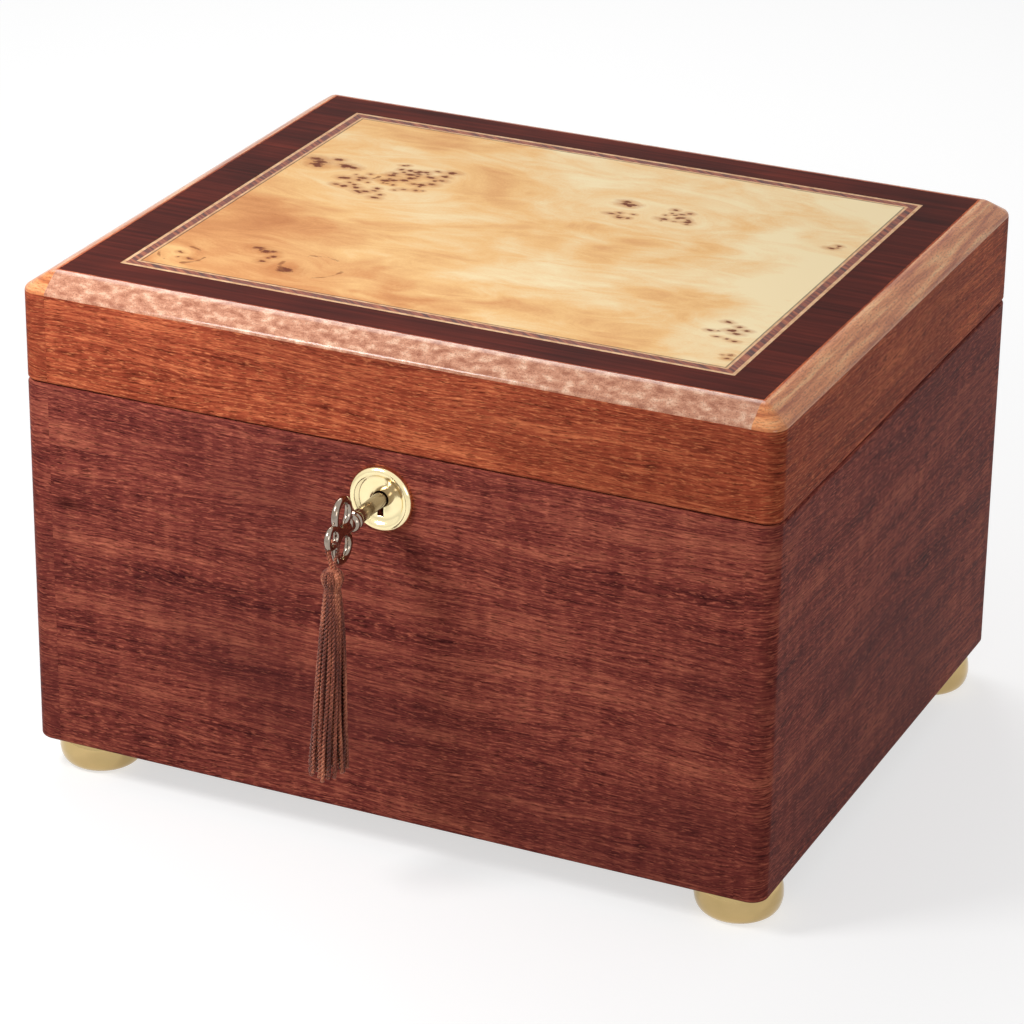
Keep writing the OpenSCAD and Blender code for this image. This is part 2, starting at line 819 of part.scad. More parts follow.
module cylinder_shell() {
    difference() {
        rod_x(cyl_x, cyl_x + cyl_l, axis_y, axis_z, cyl_r);
        rod_x(cyl_x + 3, cyl_x + cyl_l - 3, axis_y, axis_z, cyl_r - cyl_wall);
        rod_x(cyl_x - 1, cyl_x + cyl_l + 1, axis_y, axis_z, arbor_r);
    }
}

module cylinder_body() {
    color("#cdb87a") cylinder_shell();
}

function tooth_x(i) = comb_x + (i + 0.5) * comb_pitch;

module cylinder_pins() {
    color("#b9b3a4") for (i = [0 : comb_teeth - 1], k = [0 : pins_each - 1])
        translate([tooth_x(i), axis_y, axis_z])
            rotate([20 + (i * 137.5 + k * (330 / pins_each - 3 * (i % 5))) % 320, 0, 0])
                translate([0, 0, cyl_r - cyl_wall - 0.2])
                    cylinder(h = cyl_wall + 0.2 + pin_h, r = pin_r, $fn = 16);
}

module cylinder_arbor() {
    color("#b0aba0") difference() {
        union() {
            rod_x(gear_x - 2, right_cock_x + gov_plate_t + 1, axis_y, axis_z, arbor_r);
            translate([0, axis_y, axis_z]) slab_x(gear_x - 1, gear_t + 2)
                pinion_2d(cyl_pinion_teeth, mod_barrel, 0);
        }
        rod_x(gear_x - 3, gear_x - 1.5, axis_y, axis_z, 0.8);
    }
}

module great_wheel() {
    r = mod_gov * great_teeth / 2;
    color("#d2b465") translate([0, axis_y, axis_z]) {
        difference() {
            slab_x(great_x, great_t) difference() {
                wheel_2d(great_teeth, mod_gov, 0);
                crossings(6, r - 3, 5, 3);
            }
            rod_x(great_x - 1, great_x + great_t + 1, 0, 0, arbor_r);
        }
        difference() {
            rod_x(great_x + great_t, great_x + great_t + 2.5, 0, 0, 5);
            rod_x(great_x, great_x + great_t + 3, 0, 0, arbor_r);
        }
    }
}

module comb_base() {
    y0 = comb_front_y - 2;
    y1 = comb_front_y + comb_back + 6;
    color("#b8923f") slab_x(comb_x - 3, comb_l + 6)
        polygon([[y0 - 4, plate_z], [y1 + 2, plate_z], [y1 + 2, plate_z + 4], [y1 - 5, plate_z + 6],
                 [y1 - 5, comb_z - 8], [y1, comb_z - 5], [y1, comb_z], [y0, comb_z],
                 [y0, comb_z - 5], [y0 + 3, comb_z - 8], [y0 + 3, plate_z + 6],
                 [y0 - 4, plate_z + 4]]);
}

comb_slit = 0.35;
function tooth_len(i) = tooth_long - (tooth_long - tooth_short) * pow(i / (comb_teeth - 1), 0.7);

module comb() {
    outline = concat(
        [[comb_x, comb_front_y]],
        [for (i = [0 : comb_teeth - 1])
            let (x = comb_x + i * comb_pitch,
                 w = comb_pitch - comb_slit,
                 root = comb_tip_y - tooth_len(i))
            each [[x, root], [x + 0.06, comb_tip_y - 4], [x + 0.3 * w, comb_tip_y],
                  [x + 0.7 * w, comb_tip_y], [x + w - 0.06, comb_tip_y - 4], [x + w, root]]],
        [[comb_x + comb_l, comb_tip_y - tooth_len(comb_teeth - 1)],
         [comb_x + comb_l, comb_front_y]]);
    color("#8f9399") difference() {
        translate([0, 0, comb_z]) linear_extrude(comb_t) polygon(outline);
        at_comb_screws() translate([0, 0, -comb_t - 1]) cylinder(h = comb_t + 2, r = 2);
    }
}

comb_screws_n = 5;
module at_comb_screws() {
    for (i = [0 : comb_screws_n - 1])
        translate([comb_x + comb_l * (i + 0.5) / comb_screws_n, comb_front_y + 7, comb_z + comb_t])
            children();
}

drum_wall = 1.5;
module spring_barrel() {
    turn = mesh_turn(0, cyl_pinion_teeth, barrel_teeth, 0);
    color("#cdb06a") translate([0, barrel_y, axis_z]) difference() {
        union() {
            rod_x(drum_x, gear_x, 0, 0, barrel_r);
            slab_x(gear_x, gear_t) wheel_2d(barrel_teeth, mod_barrel, turn);
        }
        rod_x(drum_x + 2, gear_x - 2, 0, 0, barrel_r - drum_wall);
        rod_x(drum_x - 1, gear_x + gear_t + 1, 0, 0, winding_r + run_gap);
    }
}

// The mainspring's strip, from the drum's wall in towards the arbor
spring_turns = 5;
spring_t = 0.8;
module mainspring() {
    steps = 24 * spring_turns;
    r_out = barrel_r - drum_wall - 0.2 - spring_t;
    r_in = winding_r + 3;
    r = [for (i = [0 : steps]) r_out - (r_out - r_in) * i / steps];
    line_out = [for (i = [0 : steps]) (r[i] + spring_t) * [cos(i * 15), sin(i * 15)]];
    line_in = [for (i = [steps : -1 : 0]) r[i] * [cos(i * 15), sin(i * 15)]];
    color("#5b6068") translate([0, barrel_y, axis_z])
        slab_x(drum_x + 2 + fit, gear_x - drum_x - 4 - 2 * fit) polygon(concat(line_out, line_in));
}

module governor_wheel_1() {
    pinion_turn = mesh_turn(dir_1, great_teeth, pinion_1_teeth, 0);
    r = mod_gov * wheel_1_teeth / 2;
    color("#d2b465") translate([0, gov1[0], gov1[1]]) {
        rod_x(great_x - 0.5, outer_plate_x + gov_plate_t, 0, 0, gov_r);
        slab_x(great_x - 0.5, great_t + 1) pinion_2d(pinion_1_teeth, mod_gov, pinion_turn);
        slab_x(wheel_1_x, wheel_t) difference() {
            wheel_2d(wheel_1_teeth, mod_gov, 0);
            crossings(3.5, r - 2, 4, 1.8);
        }
    }
}

module governor_wheel_2() {
    pinion_turn = mesh_turn(dir_2, wheel_1_teeth, pinion_2_teeth, 0);
    color("#d2b465") translate([0, gov2[0], gov2[1]]) {
        rod_x(right_cock_x, outer_plate_x + gov_plate_t, 0, 0, gov_r);
        slab_x(wheel_1_x - 0.5, wheel_t + 1) pinion_2d(pinion_2_teeth, mod_gov, pinion_turn);
        slab_x(worm_x - wheel_t / 2, wheel_t) wheel_2d(worm_wheel_teeth, mod_gov, 0);
    }
}

worm_z = gov2[1];
fan_z = worm_z + 12;
fan_h = 12;
fan_r = 7.5;
cock_low = worm_z - 11;
cock_high = fan_z + fan_h + 2;
module worm_fan() {
    color("#a9a498") translate([worm_x, worm_y, 0]) {
        translate([0, 0, cock_low - 2]) cylinder(h = cock_high + 2 - cock_low + 2, r = fan_pivot_r);
        translate([0, 0, worm_z - 8]) cylinder(h = 18, r = 0.9);
        translate([0, 0, fan_z]) cylinder(h = fan_h, r = 1.5);
        for (s = [0, 1]) rotate(s * 180) {
            block(1, fan_r, -0.25, 0.25, fan_z + 1, fan_z + fan_h - 1);
            block(fan_r - 0.5, fan_r, -0.25, 1.2, fan_z + 1, fan_z + fan_h - 1);
        }
    }
}

module governor_cock() {
    t = 5;
    y0 = worm_y - 3;
    y1 = worm_y + 10;
    y2 = worm_y + 15;
    color("#d2b465") difference() {
        slab_x(worm_x - t / 2, t) polygon([
            [y1 - 8, plate_z], [y2, plate_z],
            [y2, cock_high + 3], [y2 - 3, cock_high + 5], [y0, cock_high + 5], [y0, cock_high],
            [y1 - 1, cock_high], [y1, cock_high - 1], [y1, cock_low + 1], [y1 - 1, cock_low],
            [y0, cock_low], [y0, cock_low - 4], [y1 - 2, cock_low - 5], [y1, cock_low - 8],
            [y1, plate_z + 6], [y1 - 8, plate_z + 3]]);
        translate([worm_x, worm_y, cock_low - 2.2])
            cylinder(h = 4, r = fan_pivot_r + run_gap);
        translate([worm_x, worm_y, cock_high - 1]) cylinder(h = 8, r = fan_pivot_r + run_gap);
    }
}

// The winding lever points forward at rest. Its arbor runs through the barrel and both its bearings
lever_l = 50;
lever_rise = 10;
module winding_arbor() {
    color("#b8b0a0")
        rod_x(lever_x - lever_t, left_cock_x + cock_t + 1, barrel_y, axis_z, winding_r);
}

module winding_lever() {
    end = [barrel_y - lever_l * cos(lever_rise), axis_z + lever_l * sin(lever_rise)];
    color("#b8b0a0") difference() {
        slab_x(lever_x - lever_t, lever_t) {
            translate([barrel_y, axis_z]) circle(9);
            translate(end) circle(5);
            polygon([[barrel_y, axis_z + 7], end + [0, 5], end - [0, 5], [barrel_y, axis_z - 7]]);
        }
        rod_x(lever_x - lever_t - 1, lever_x + 1, barrel_y, axis_z, winding_r + run_gap);
    }
}

module winding_knob() {
    end = [barrel_y - lever_l * cos(lever_rise), axis_z + lever_l * sin(lever_rise)];
    color("#2a1412") translate([lever_x - lever_t, end[0], end[1]]) rotate([0, -90, 0])
        rotate_extrude() polygon([[0, 0], [3.5, 0], [3.5, 2], [5.2, 6], [5.8, 11], [4.8, 15],
                                  [2.5, 17], [0, 17.4]]);
}

// The play lever's shaft turns in a bush through the partition
play_y = 12;
play_z = axis_z + 22;
play_r = 2;
bush_r = 4;
play_l = 26;
module lever_bush() {
    color("#c9a95a") difference() {
        union() {
            rod_x(bay_x, bay_x + part_t + 1.5, play_y, play_z, bush_r);
            rod_x(bay_x + part_t, bay_x + part_t + 1.5, play_y, play_z, bush_r + 3);
        }
        rod_x(bay_x - 1, bay_x + part_t + 3, play_y, play_z, play_r + run_gap);
    }
}

module play_lever() {
    x0 = bay_x + part_t + 1.5 + fit;
    tip = [play_y - 20, play_z + 17];
    catch = [worm_y - 12, fan_z + 5];
    color("#b8b0a0") {
        rod_x(bay_x - 1.2 - fit, x0 + 3, play_y, play_z, play_r);
        slab_x(x0, 3) {
            translate([play_y, play_z]) circle(5);
            polygon([[play_y - 1, play_z - 4.5], tip + [0, -3], tip + [2, 3], [play_y + 3, play_z + 4]]);
            translate(tip) circle(3.2);
        }
        rod_x(x0 + 3, x0 + 13, tip[0], tip[1], 3);
        slab_x(bay_x - 1.2 - fit, 1.2) {
            translate([play_y, play_z]) circle(3.5);
            polygon([[play_y, play_z - 2.5], catch + [0, -1], catch + [0, 1], [play_y, play_z + 2.5]]);
        }
    }
}

case_front();
case_back();
case_left();
case_right();
case_posts();
case_bottom();
feet();
foot_screws();
deck();
deck_battens();
partition_left();
partition_right();
glass_frame();
glass_pane();
lid_front();
lid_back();
lid_left();
lid_right();
lid_corners();
lid_board();
border_veneer();
outer_string();
inlay_band();
inner_string();
burl_panel();
lid_lining();
hinge_case_leaves();
hinge_lid_leaves();
hinge_pins();
lock_case();
lock_bolt();
strike_plate();
escutcheon();
key();
tassel_loop();
tassel_head();
tassel_skirt();
bedplate();
movement_screws();
left_cock();
right_cock();
barrel_bracket();
cylinder_body();  // cylinder
cylinder_pins();
cylinder_arbor();
great_wheel();
comb_base();
comb();
spring_barrel();
mainspring();
governor_plate();
governor_cock();
governor_wheel_1();
governor_wheel_2();
worm_fan();
winding_arbor();
winding_lever();
winding_knob();
play_lever();
lever_bush();
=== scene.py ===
"""A cylinder music box in a veneered chest: its finishes, mouldings, hardware, key, tassel and movement.

Everything is in metres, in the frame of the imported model: X right, Y back, Z up from the table top.
"""

import json
import math
import random
from contextlib import contextmanager

import bmesh
import bpy
import numpy as np
from mathutils import Matrix, Vector


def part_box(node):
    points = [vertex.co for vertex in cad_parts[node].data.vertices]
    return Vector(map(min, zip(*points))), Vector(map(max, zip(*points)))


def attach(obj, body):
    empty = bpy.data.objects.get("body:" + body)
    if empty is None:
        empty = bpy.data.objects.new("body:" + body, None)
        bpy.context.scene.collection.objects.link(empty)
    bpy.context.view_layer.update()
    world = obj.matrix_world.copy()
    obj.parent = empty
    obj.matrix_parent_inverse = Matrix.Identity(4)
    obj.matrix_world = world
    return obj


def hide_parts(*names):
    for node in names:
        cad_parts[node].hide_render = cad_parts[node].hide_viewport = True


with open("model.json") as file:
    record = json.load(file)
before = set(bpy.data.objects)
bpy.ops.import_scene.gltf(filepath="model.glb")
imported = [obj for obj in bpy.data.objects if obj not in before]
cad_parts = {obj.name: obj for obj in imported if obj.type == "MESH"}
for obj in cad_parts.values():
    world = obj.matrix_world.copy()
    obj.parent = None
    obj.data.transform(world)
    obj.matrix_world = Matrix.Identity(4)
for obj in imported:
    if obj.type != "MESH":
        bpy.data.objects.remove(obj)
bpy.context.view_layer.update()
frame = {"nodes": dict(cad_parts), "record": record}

MM = 0.001
WELD = 0.001 * MM  # points of a mesh that lie closer than this are made one
NODE = frame["nodes"]
BODY_OF = {n: b for b, nodes in frame["record"]["behaviour"]["bodies"].items() for n in nodes}
SLOT_OF = {s["node"]: s["material_slot"] for s in frame["record"]["subparts"]}

# ---------------------------------------------------------------- places, from the frame

corner_low, corner_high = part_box("lid_corners")
burl_low, burl_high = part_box("burl_panel")
plate_low, plate_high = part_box("escutcheon")
key_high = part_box("key")[1]
head_low, head_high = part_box("tassel_head")
skirt_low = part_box("tassel_skirt")[0]
cylinder_low, cylinder_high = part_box("cylinder")
comb_low, comb_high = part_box("comb")
posts_low, posts_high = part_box("case_posts")
fan_low, fan_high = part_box("worm_fan")

OUTER_X = corner_high.x  # half the width of the chest
OUTER_Y = corner_high.y  # half its depth
SEAM_Z = corner_low.z  # underside of the lid
RAIL_H = corner_high.z - SEAM_Z
CASE_LOW = posts_low.z
CASE_HIGH = posts_high.z
WALL = 11 * MM  # thickness of the walls
EDGE_R = 1.2 * MM  # the small rounded edges
SLOPE_W = 8.6 * MM  # the sloping face of the lid's moulding
SLOPE_H = 5.8 * MM
FRONT_Y = plate_high.y
LOCK_X = (plate_low.x + plate_high.x) / 2
KEY_Z = (plate_low.z + plate_high.z) / 2
TRACKS = 72  # teeth of the comb, each with its own track of pins
TRACK_PITCH = (comb_high.x - comb_low.x) / TRACKS

# ---------------------------------------------------------------- the workshop: meshes


def placed(name, data):
    """An object in the scene that holds some data."""
    thing = bpy.data.objects.new(name, data)
    bpy.context.scene.collection.objects.link(thing)
    return thing


def new_piece(name, vertices, faces):
    """A mesh object from plain lists, at the origin."""
    mesh = bpy.data.meshes.new(name)
    mesh.from_pydata([tuple(v) for v in vertices], [], faces)
    return placed(name, mesh)


def skin(rows, count, ring_of_rows=True, ring_in_row=True):
    """Faces between rows of count points. The rows, and the points of each, close in a ring or don't."""
    faces = []
    for i in range(rows if ring_of_rows else rows - 1):
        j = (i + 1) % rows
        for k in range(count if ring_in_row else count - 1):
            n = (k + 1) % count
            faces.append((i * count + k, j * count + k, j * count + n, i * count + n))
    return faces


def fix_on(piece, slot, body, *nodes):
    """The piece rides on a body and stands for its solids, which it hides. The slot is not used."""
    if nodes:
        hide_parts(*nodes)
    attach(piece, body)
    return piece


def smooth(piece, sharp=35):
    """Smooth shading, with the edges sharper than an angle kept crisp."""
    piece.data.shade_smooth()
    piece.data.set_sharp_from_angle(angle=math.radians(sharp))


@contextmanager
def editing(mesh, source=None):
    """Opens a mesh, or a source for it, as a bmesh and writes the result into the mesh."""
    work = bmesh.new()
    work.from_mesh(source or mesh)
    yield work
    work.to_mesh(mesh)
    work.free()


def clean(piece):
    """Merges doubled points and turns the faces outwards."""
    with editing(piece.data) as work:
        bmesh.ops.remove_doubles(work, verts=work.verts, dist=WELD)
        bmesh.ops.recalc_face_normals(work, faces=work.faces)


def dressed(node, look, ease=0.0, sharp=35):
    """A smooth-shaded copy of a solid, with eased edges, that stands for it."""
    name = node + "_finished"
    piece = placed(name, bpy.data.meshes.new(name))
    with editing(piece.data, NODE[node].data) as work:
        bmesh.ops.remove_doubles(work, verts=work.verts, dist=2 * WELD)
        flat = math.radians(0.5)
        bmesh.ops.dissolve_limit(work, angle_limit=flat, verts=work.verts, edges=work.edges)
    smooth(piece, sharp)
    piece.data.materials.clear()
    piece.data.materials.append(look)
    if ease:
        bevel = piece.modifiers.new("eased_edges", "BEVEL")
        bevel.width = ease
        bevel.segments = 2
        bevel.limit_method = "ANGLE"
        bevel.angle_limit = math.radians(sharp)
    piece.modifiers.new("flat_faces", "WEIGHTED_NORMAL").keep_sharp = not ease
    return fix_on(piece, SLOT_OF[node], BODY_OF[node], node)


def paint(node, look):
    """A CAD solid whose shape is right keeps its mesh and takes the finish."""
    slots = NODE[node].data.materials
    slots.clear()
    slots.append(look)


def lathe(name, outline, centre, axis="Z", steps=48):
    """Turns an outline of (radius, height) points round an axis, Y or Z, through the centre."""
    vertices = []
    for i in range(steps):
        a = 2 * math.pi * i / steps
        for r, h in outline:
            x, side = r * math.cos(a), r * math.sin(a)
            vertices.append(Vector(centre) + Vector((x, side, h) if axis == "Z" else (x, h, side)))
    piece = new_piece(name, vertices, skin(steps, len(outline), ring_in_row=False))
    clean(piece)
    smooth(piece, 40)
    return piece


def arc(cx, cy, r, start, end, steps):
    """Points of an arc in the plane, by its centre, radius and angles in degrees."""
    angles = [math.radians(start + (end - start) * i / steps) for i in range(steps + 1)]
    return [(cx + r * math.cos(a), cy + r * math.sin(a)) for a in angles]


def curve(a, b, c, steps):
    """Points of a soft bend from a to c that leans towards b."""
    points = []
    for i in range(steps + 1):
        t = i / steps
        points.append(tuple(
            (1 - t) ** 2 * p + 2 * t * (1 - t) * q + t * t * s for p, q, s in zip(a, b, c)
        ))
    return points


def set_uv(piece, to_uv):
    """A UV map in metres: u along the grain, v across it, from each point's index and place."""
    layer = piece.data.uv_layers.new(name="grain")
    for loop in piece.data.loops:
        index = loop.vertex_index
        layer.data[loop.index].uv = to_uv(index, piece.data.vertices[index].co)


def join(name, pieces):
    """Several pieces made one."""
    bpy.ops.object.select_all(action="DESELECT")
    for piece in pieces:
        piece.select_set(True)
    bpy.context.view_layer.objects.active = pieces[0]
    bpy.ops.object.join()
    pieces[0].name = name
    pieces[0].data.name = name
    return pieces[0]


# ---------------------------------------------------------------- camera

CAMERA_AT = Vector((0.59556, -1.30926, 0.73977))
CAMERA_AZIMUTH = math.radians(24.682)
CAMERA_ELEVATION = math.radians(24.315)
CAMERA_ROLL = math.radians(0.71)
CAMERA_LENS = 143.04


def set_camera():
    """The camera, by its place, the way it looks and its roll."""
    data = bpy.data.cameras.new("camera")
    data.lens = CAMERA_LENS
    data.sensor_width = 36
    data.clip_start = 0.05
    data.clip_end = 50
    camera = placed("camera", data)
    flat = math.cos(CAMERA_ELEVATION)
    back = Vector((
        math.sin(CAMERA_AZIMUTH) * flat,
        -math.cos(CAMERA_AZIMUTH) * flat,
        math.sin(CAMERA_ELEVATION),
    ))
    right = (-back).cross(Vector((0, 0, 1))).normalized()
    up = right.cross(-back)
    rolled_right = math.cos(CAMERA_ROLL) * right + math.sin(CAMERA_ROLL) * up
    rolled_up = math.cos(CAMERA_ROLL) * up - math.sin(CAMERA_ROLL) * right
    turn = Matrix((rolled_right, rolled_up, back)).transposed().to_4x4()
    camera.matrix_world = Matrix.Translation(CAMERA_AT) @ turn
    bpy.context.scene.camera = camera


set_camera()

# ---------------------------------------------------------------- the workshop: node trees


class Tree:
    """Short ways to add and link the nodes of a shader or a geometry tree."""

    def __init__(self, tree):
        self.tree = tree

    def add(self, kind, inputs=None, **settings):
        """A node, its settings, and its inputs as values or as other nodes' sockets."""
        node = self.tree.nodes.new(kind)
        for name, value in settings.items():
            setattr(node, name, value)
        for name, value in (inputs or {}).items():
            socket = node.inputs[name]
            if isinstance(value, bpy.types.NodeSocket):
                self.tree.links.new(value, socket)
            else:
                socket.default_value = value
        return node

    def math(self, operation, a, b=0.0, c=0.5):
        """One result of arithmetic on up to three values."""
        return self.add("ShaderNodeMath", {0: a, 1: b, 2: c}, operation=operation).outputs[0]

    def plus(self, a, b):
        return self.math("ADD", a, b)

    def minus(self, a, b):
        return self.math("SUBTRACT", a, b)

    def times(self, a, b):
        return self.math("MULTIPLY", a, b)

    def vector(self, operation, a, b=(0, 0, 0)):
        """One result of arithmetic on vectors."""
        node = self.add("ShaderNodeVectorMath", {0: a, 1: b}, operation=operation)
        return node.outputs["Value" if operation in ("DOT_PRODUCT", "LENGTH") else "Vector"]

    def here(self):
        """The place on the object, in metres."""
        return self.add("ShaderNodeTexCoord").outputs["Object"]

    def along(self, source, axis):
        """One component of a vector."""
        return self.add("ShaderNodeSeparateXYZ", {"Vector": source}).outputs[axis]

    def attribute(self, name, output="Fac"):
        """A value that the mesh carries."""
        return self.add("ShaderNodeAttribute", attribute_name=name).outputs[output]

    def noise(self, source, scale, place=(0, 0, 0), detail=4.0, rough=0.5, warp=0.0):
        """Noise over a coordinate that is scaled along each axis and shifted."""
        spot = self.add("ShaderNodeMapping", {"Vector": source, "Scale": scale, "Location": place})
        node = self.add("ShaderNodeTexNoise", {
            "Vector": spot.outputs["Vector"], "Scale": 1.0, "Detail": detail,
            "Roughness": rough, "Distortion": warp,
        })
        return node.outputs["Fac"]

    def ramp(self, source, *stops):
        """A colour ramp through (place, colour) stops."""
        node = self.add("ShaderNodeValToRGB", {"Fac": source})
        line = node.color_ramp
        for element, (place, tone) in zip(line.elements, (stops[0], stops[-1])):
            element.position = place
            element.color = (*tone, 1)
        for place, tone in stops[1:-1]:
            line.elements.new(place).color = (*tone, 1)
        return node.outputs["Color"]

    def step(self, source, low, high, out_low=0.0, out_high=1.0):
        """Maps a range onto another, clamped."""
        node = self.add("ShaderNodeMapRange", {
            "Value": source, "From Min": low, "From Max": high,
            "To Min": out_low, "To Max": out_high,
        })
        return node.outputs["Result"]

    def mix(self, amount, a, b):
        """Colour b laid over colour a by an amount."""
        a, b = [(*c, 1) if isinstance(c, tuple) else c for c in (a, b)]
        # the node has a set of inputs for each type of data: 6 and 7 are its colours
        return self.add("ShaderNodeMix", {0: amount, 6: a, 7: b}, data_type="RGBA").outputs[2]

    def bump(self, height, strength, depth):
        """A bump from a height between 0 and 1, as deep as depth."""
        return self.add("ShaderNodeBump", {
            "Height": height, "Strength": strength, "Distance": depth,
        }).outputs["Normal"]

    def seen(self):
        """1 for rays from the camera, from a mirror and through glass, and 0 for the rest."""
        path = self.add("ShaderNodeLightPath").outputs
        straight = self.math("MAXIMUM", path["Is Camera Ray"], path["Is Transmission Ray"])
        return self.math("MAXIMUM", straight, path["Is Glossy Ray"])


def colour(red, green, blue):
    """A colour as seen on a screen, 0 to 255, in the linear values that Blender mixes."""
    def linear(v):
        v /= 255
        return v / 12.92 if v <= 0.04045 else ((v + 0.055) / 1.055) ** 2.4
    return (linear(red), linear(green), linear(blue))


def shaded(tone, *factors):
    """A colour times one factor, or a factor for each of its three values."""
    return tuple(min(1, v * f) for v, f in zip(tone, factors if len(factors) == 3 else factors * 3))


def empty_tree(block):
    """The node tree of a new material or world, with no nodes."""
    block.use_nodes = True
    block.node_tree.nodes.clear()
    return Tree(block.node_tree)


def finish(name, fill, **sockets):
    """A material: fill(tree) gives the linked inputs, and sockets hold the plain values."""
    look = bpy.data.materials.new(name)
    tree = empty_tree(look)
    shader = tree.add("ShaderNodeBsdfPrincipled")
    for label, value in sockets.items():
        socket = shader.inputs[label.replace("_", " ")]
        socket.default_value = (*value, 1) if isinstance(value, tuple) else value
    for label, value in fill(tree).items():
        tree.tree.links.new(value, shader.inputs[label])
    tree.add("ShaderNodeOutputMaterial", {"Surface": shader.outputs[0]})
    return look


def material(name, **sockets):
    """Turns the function that fills a tree into the material itself."""
    return lambda fill: finish(name, fill, **sockets)


# ---------------------------------------------------------------- wood


def grain_coordinates(tree):
    """Metres along the grain and across it."""
    return tree.add("ShaderNodeUVMap", uv_map="grain").outputs["UV"]


def knotted(tree, wood, dark, at, streaks, knots):
    """Dark knots, each with its u, v, length, width and strength, frayed along the streaks."""
    for u, v, long, wide, strength in knots:
        offset = tree.vector("SUBTRACT", at, (u, v, 0))
        spot = tree.vector("LENGTH", tree.vector("MULTIPLY", offset, (1 / long, 1 / wide, 0)))
        frayed = tree.plus(spot, tree.times(streaks, 0.7))
        wood = tree.mix(tree.step(frayed, 0.45, 1.25, strength, 0.0), wood, shaded(dark, 0.28))
    return wood


def veneer(name, dark, middle, light, knots=(), gloss=0.34, figure=1.0):
    """Open-pored veneer: smoky bands, fine streaks, dark pores and painted glints along u, faint figure
    across.
    """

    def fill(tree):
        uv = grain_coordinates(tree)
        sway = tree.times(tree.minus(tree.noise(uv, (9, 45, 1), detail=2), 0.5), 0.012)
        bent = tree.vector("ADD", uv, tree.add("ShaderNodeCombineXYZ", {1: sway}).outputs[0])
        bands = tree.noise(bent, (5, 95, 1), detail=3, rough=0.55)
        streaks = tree.noise(bent, (28, 900, 1), detail=5, rough=0.65)
        cross = tree.noise(uv, (150, 38, 1), (3, 7, 0), detail=3)
        tone = tree.plus(tree.times(bands, 0.42), tree.times(streaks, 0.58))
        tone = tree.plus(tone, tree.times(tree.minus(cross, 0.5), 0.22 * figure))
        wood = tree.ramp(tone, (0.34, dark), (0.50, middle), (0.66, light))
        pores = tree.noise(bent, (190, 1900, 1), (11, 5, 0), detail=2, rough=0.7)
        pore = tree.step(pores, 0.50, 0.66)
        wood = tree.mix(tree.times(pore, 0.72), wood, shaded(dark, 0.45))
        # painted glints: thin streaks paler than the light tone, where the pores would catch the light
        gleams = tree.noise(bent, (230, 1500, 1), (2, 31, 0), detail=2, rough=0.7)
        gleam = tree.step(gleams, 0.53, 0.68)
        wood = tree.mix(tree.times(gleam, 0.5), wood, shaded(light, 1.5))
        wood = knotted(tree, wood, dark, bent, streaks, knots)
        clouds = tree.noise(uv, (7, 13, 1), (5, 2, 0), detail=2)
        patch = tree.step(clouds, 0.46, 0.68, 0.0, 0.42 * figure)
        wood = tree.mix(patch, wood, shaded(middle, 0.42, 0.5, 0.62))
        return {
            "Base Color": wood,
            "Roughness": tree.step(streaks, 0.3, 0.7, gloss - 0.05, gloss + 0.08),
            "Normal": tree.bump(tree.minus(streaks, tree.times(pore, 0.8)), 0.12, 0.00008),
        }

    return finish(name, fill, Specular_IOR_Level=0.01)


def speckled_moulding(name, tones, fleck_scale, line_scale):
    """The lid's moulding, of a paler wood with darker flecks over its lines."""

    def fill(tree):
        uv = grain_coordinates(tree)
        flecks = tree.noise(uv, fleck_scale, detail=2, rough=0.6)
        lines = tree.noise(uv, line_scale, (2, 9, 0), detail=4, rough=0.6)
        wood = tree.ramp(lines, *zip((0.34, 0.52, 0.68), tones))
        fleck = tree.times(tree.step(flecks, 0.50, 0.66), 0.45)
        return {
            "Base Color": tree.mix(fleck, wood, colour(108, 54, 40)),
            "Normal": tree.bump(flecks, 0.1, 0.00006),
        }

    return finish(name, fill, Roughness=0.3, Specular_IOR_Level=0.1,
                  Coat_Weight=0.5, Coat_Roughness=0.08)


@material("dark_border_veneer", Roughness=0.3, Specular_IOR_Level=0.01)
def border_wood(tree):
    """The dark red-brown veneer of the lid's border, with faint lines along its length."""
    at = tree.here()
    lines = tree.noise(at, (14, 420, 60), detail=4, rough=0.6)
    patches = tree.noise(at, (22, 30, 10), detail=3)
    tone = tree.plus(tree.times(lines, 0.6), tree.times(patches, 0.4))
    wood = tree.ramp(tone, (0.32, colour(54, 18, 14)), (0.5, colour(82, 29, 21)),
                     (0.7, colour(114, 43, 30)))
    return {"Base Color": wood, "Normal": tree.bump(lines, 0.06, 0.00005)}


@material("pale_string_wood", Roughness=0.3, Specular_IOR_Level=0.1)
def string_wood(tree):
    """Boxwood of the thin pale lines."""
    lines = tree.noise(tree.here(), (300, 300, 80), detail=3)
    wood = tree.ramp(lines, (0.3, colour(196, 140, 92)), (0.7, colour(236, 190, 142)))
    return {"Base Color": wood}


@material("slanted_band_wood", Roughness=0.3, Specular_IOR_Level=0.1)
def band_wood(tree):
    """The band of the inlay: red-brown wood whose grain slants across it."""
    turned = tree.add("ShaderNodeMapping", {
        "Vector": tree.here(), "Rotation": (0, 0, math.radians(34)), "Scale": (1, 1, 1),
    }).outputs["Vector"]
    lines = tree.noise(turned, (60, 700, 60), detail=3, rough=0.6)
    wood = tree.ramp(lines, (0.36, colour(74, 26, 18)), (0.52, colour(134, 58, 34)),
                     (0.68, colour(176, 96, 58)))
    return {"Base Color": wood}


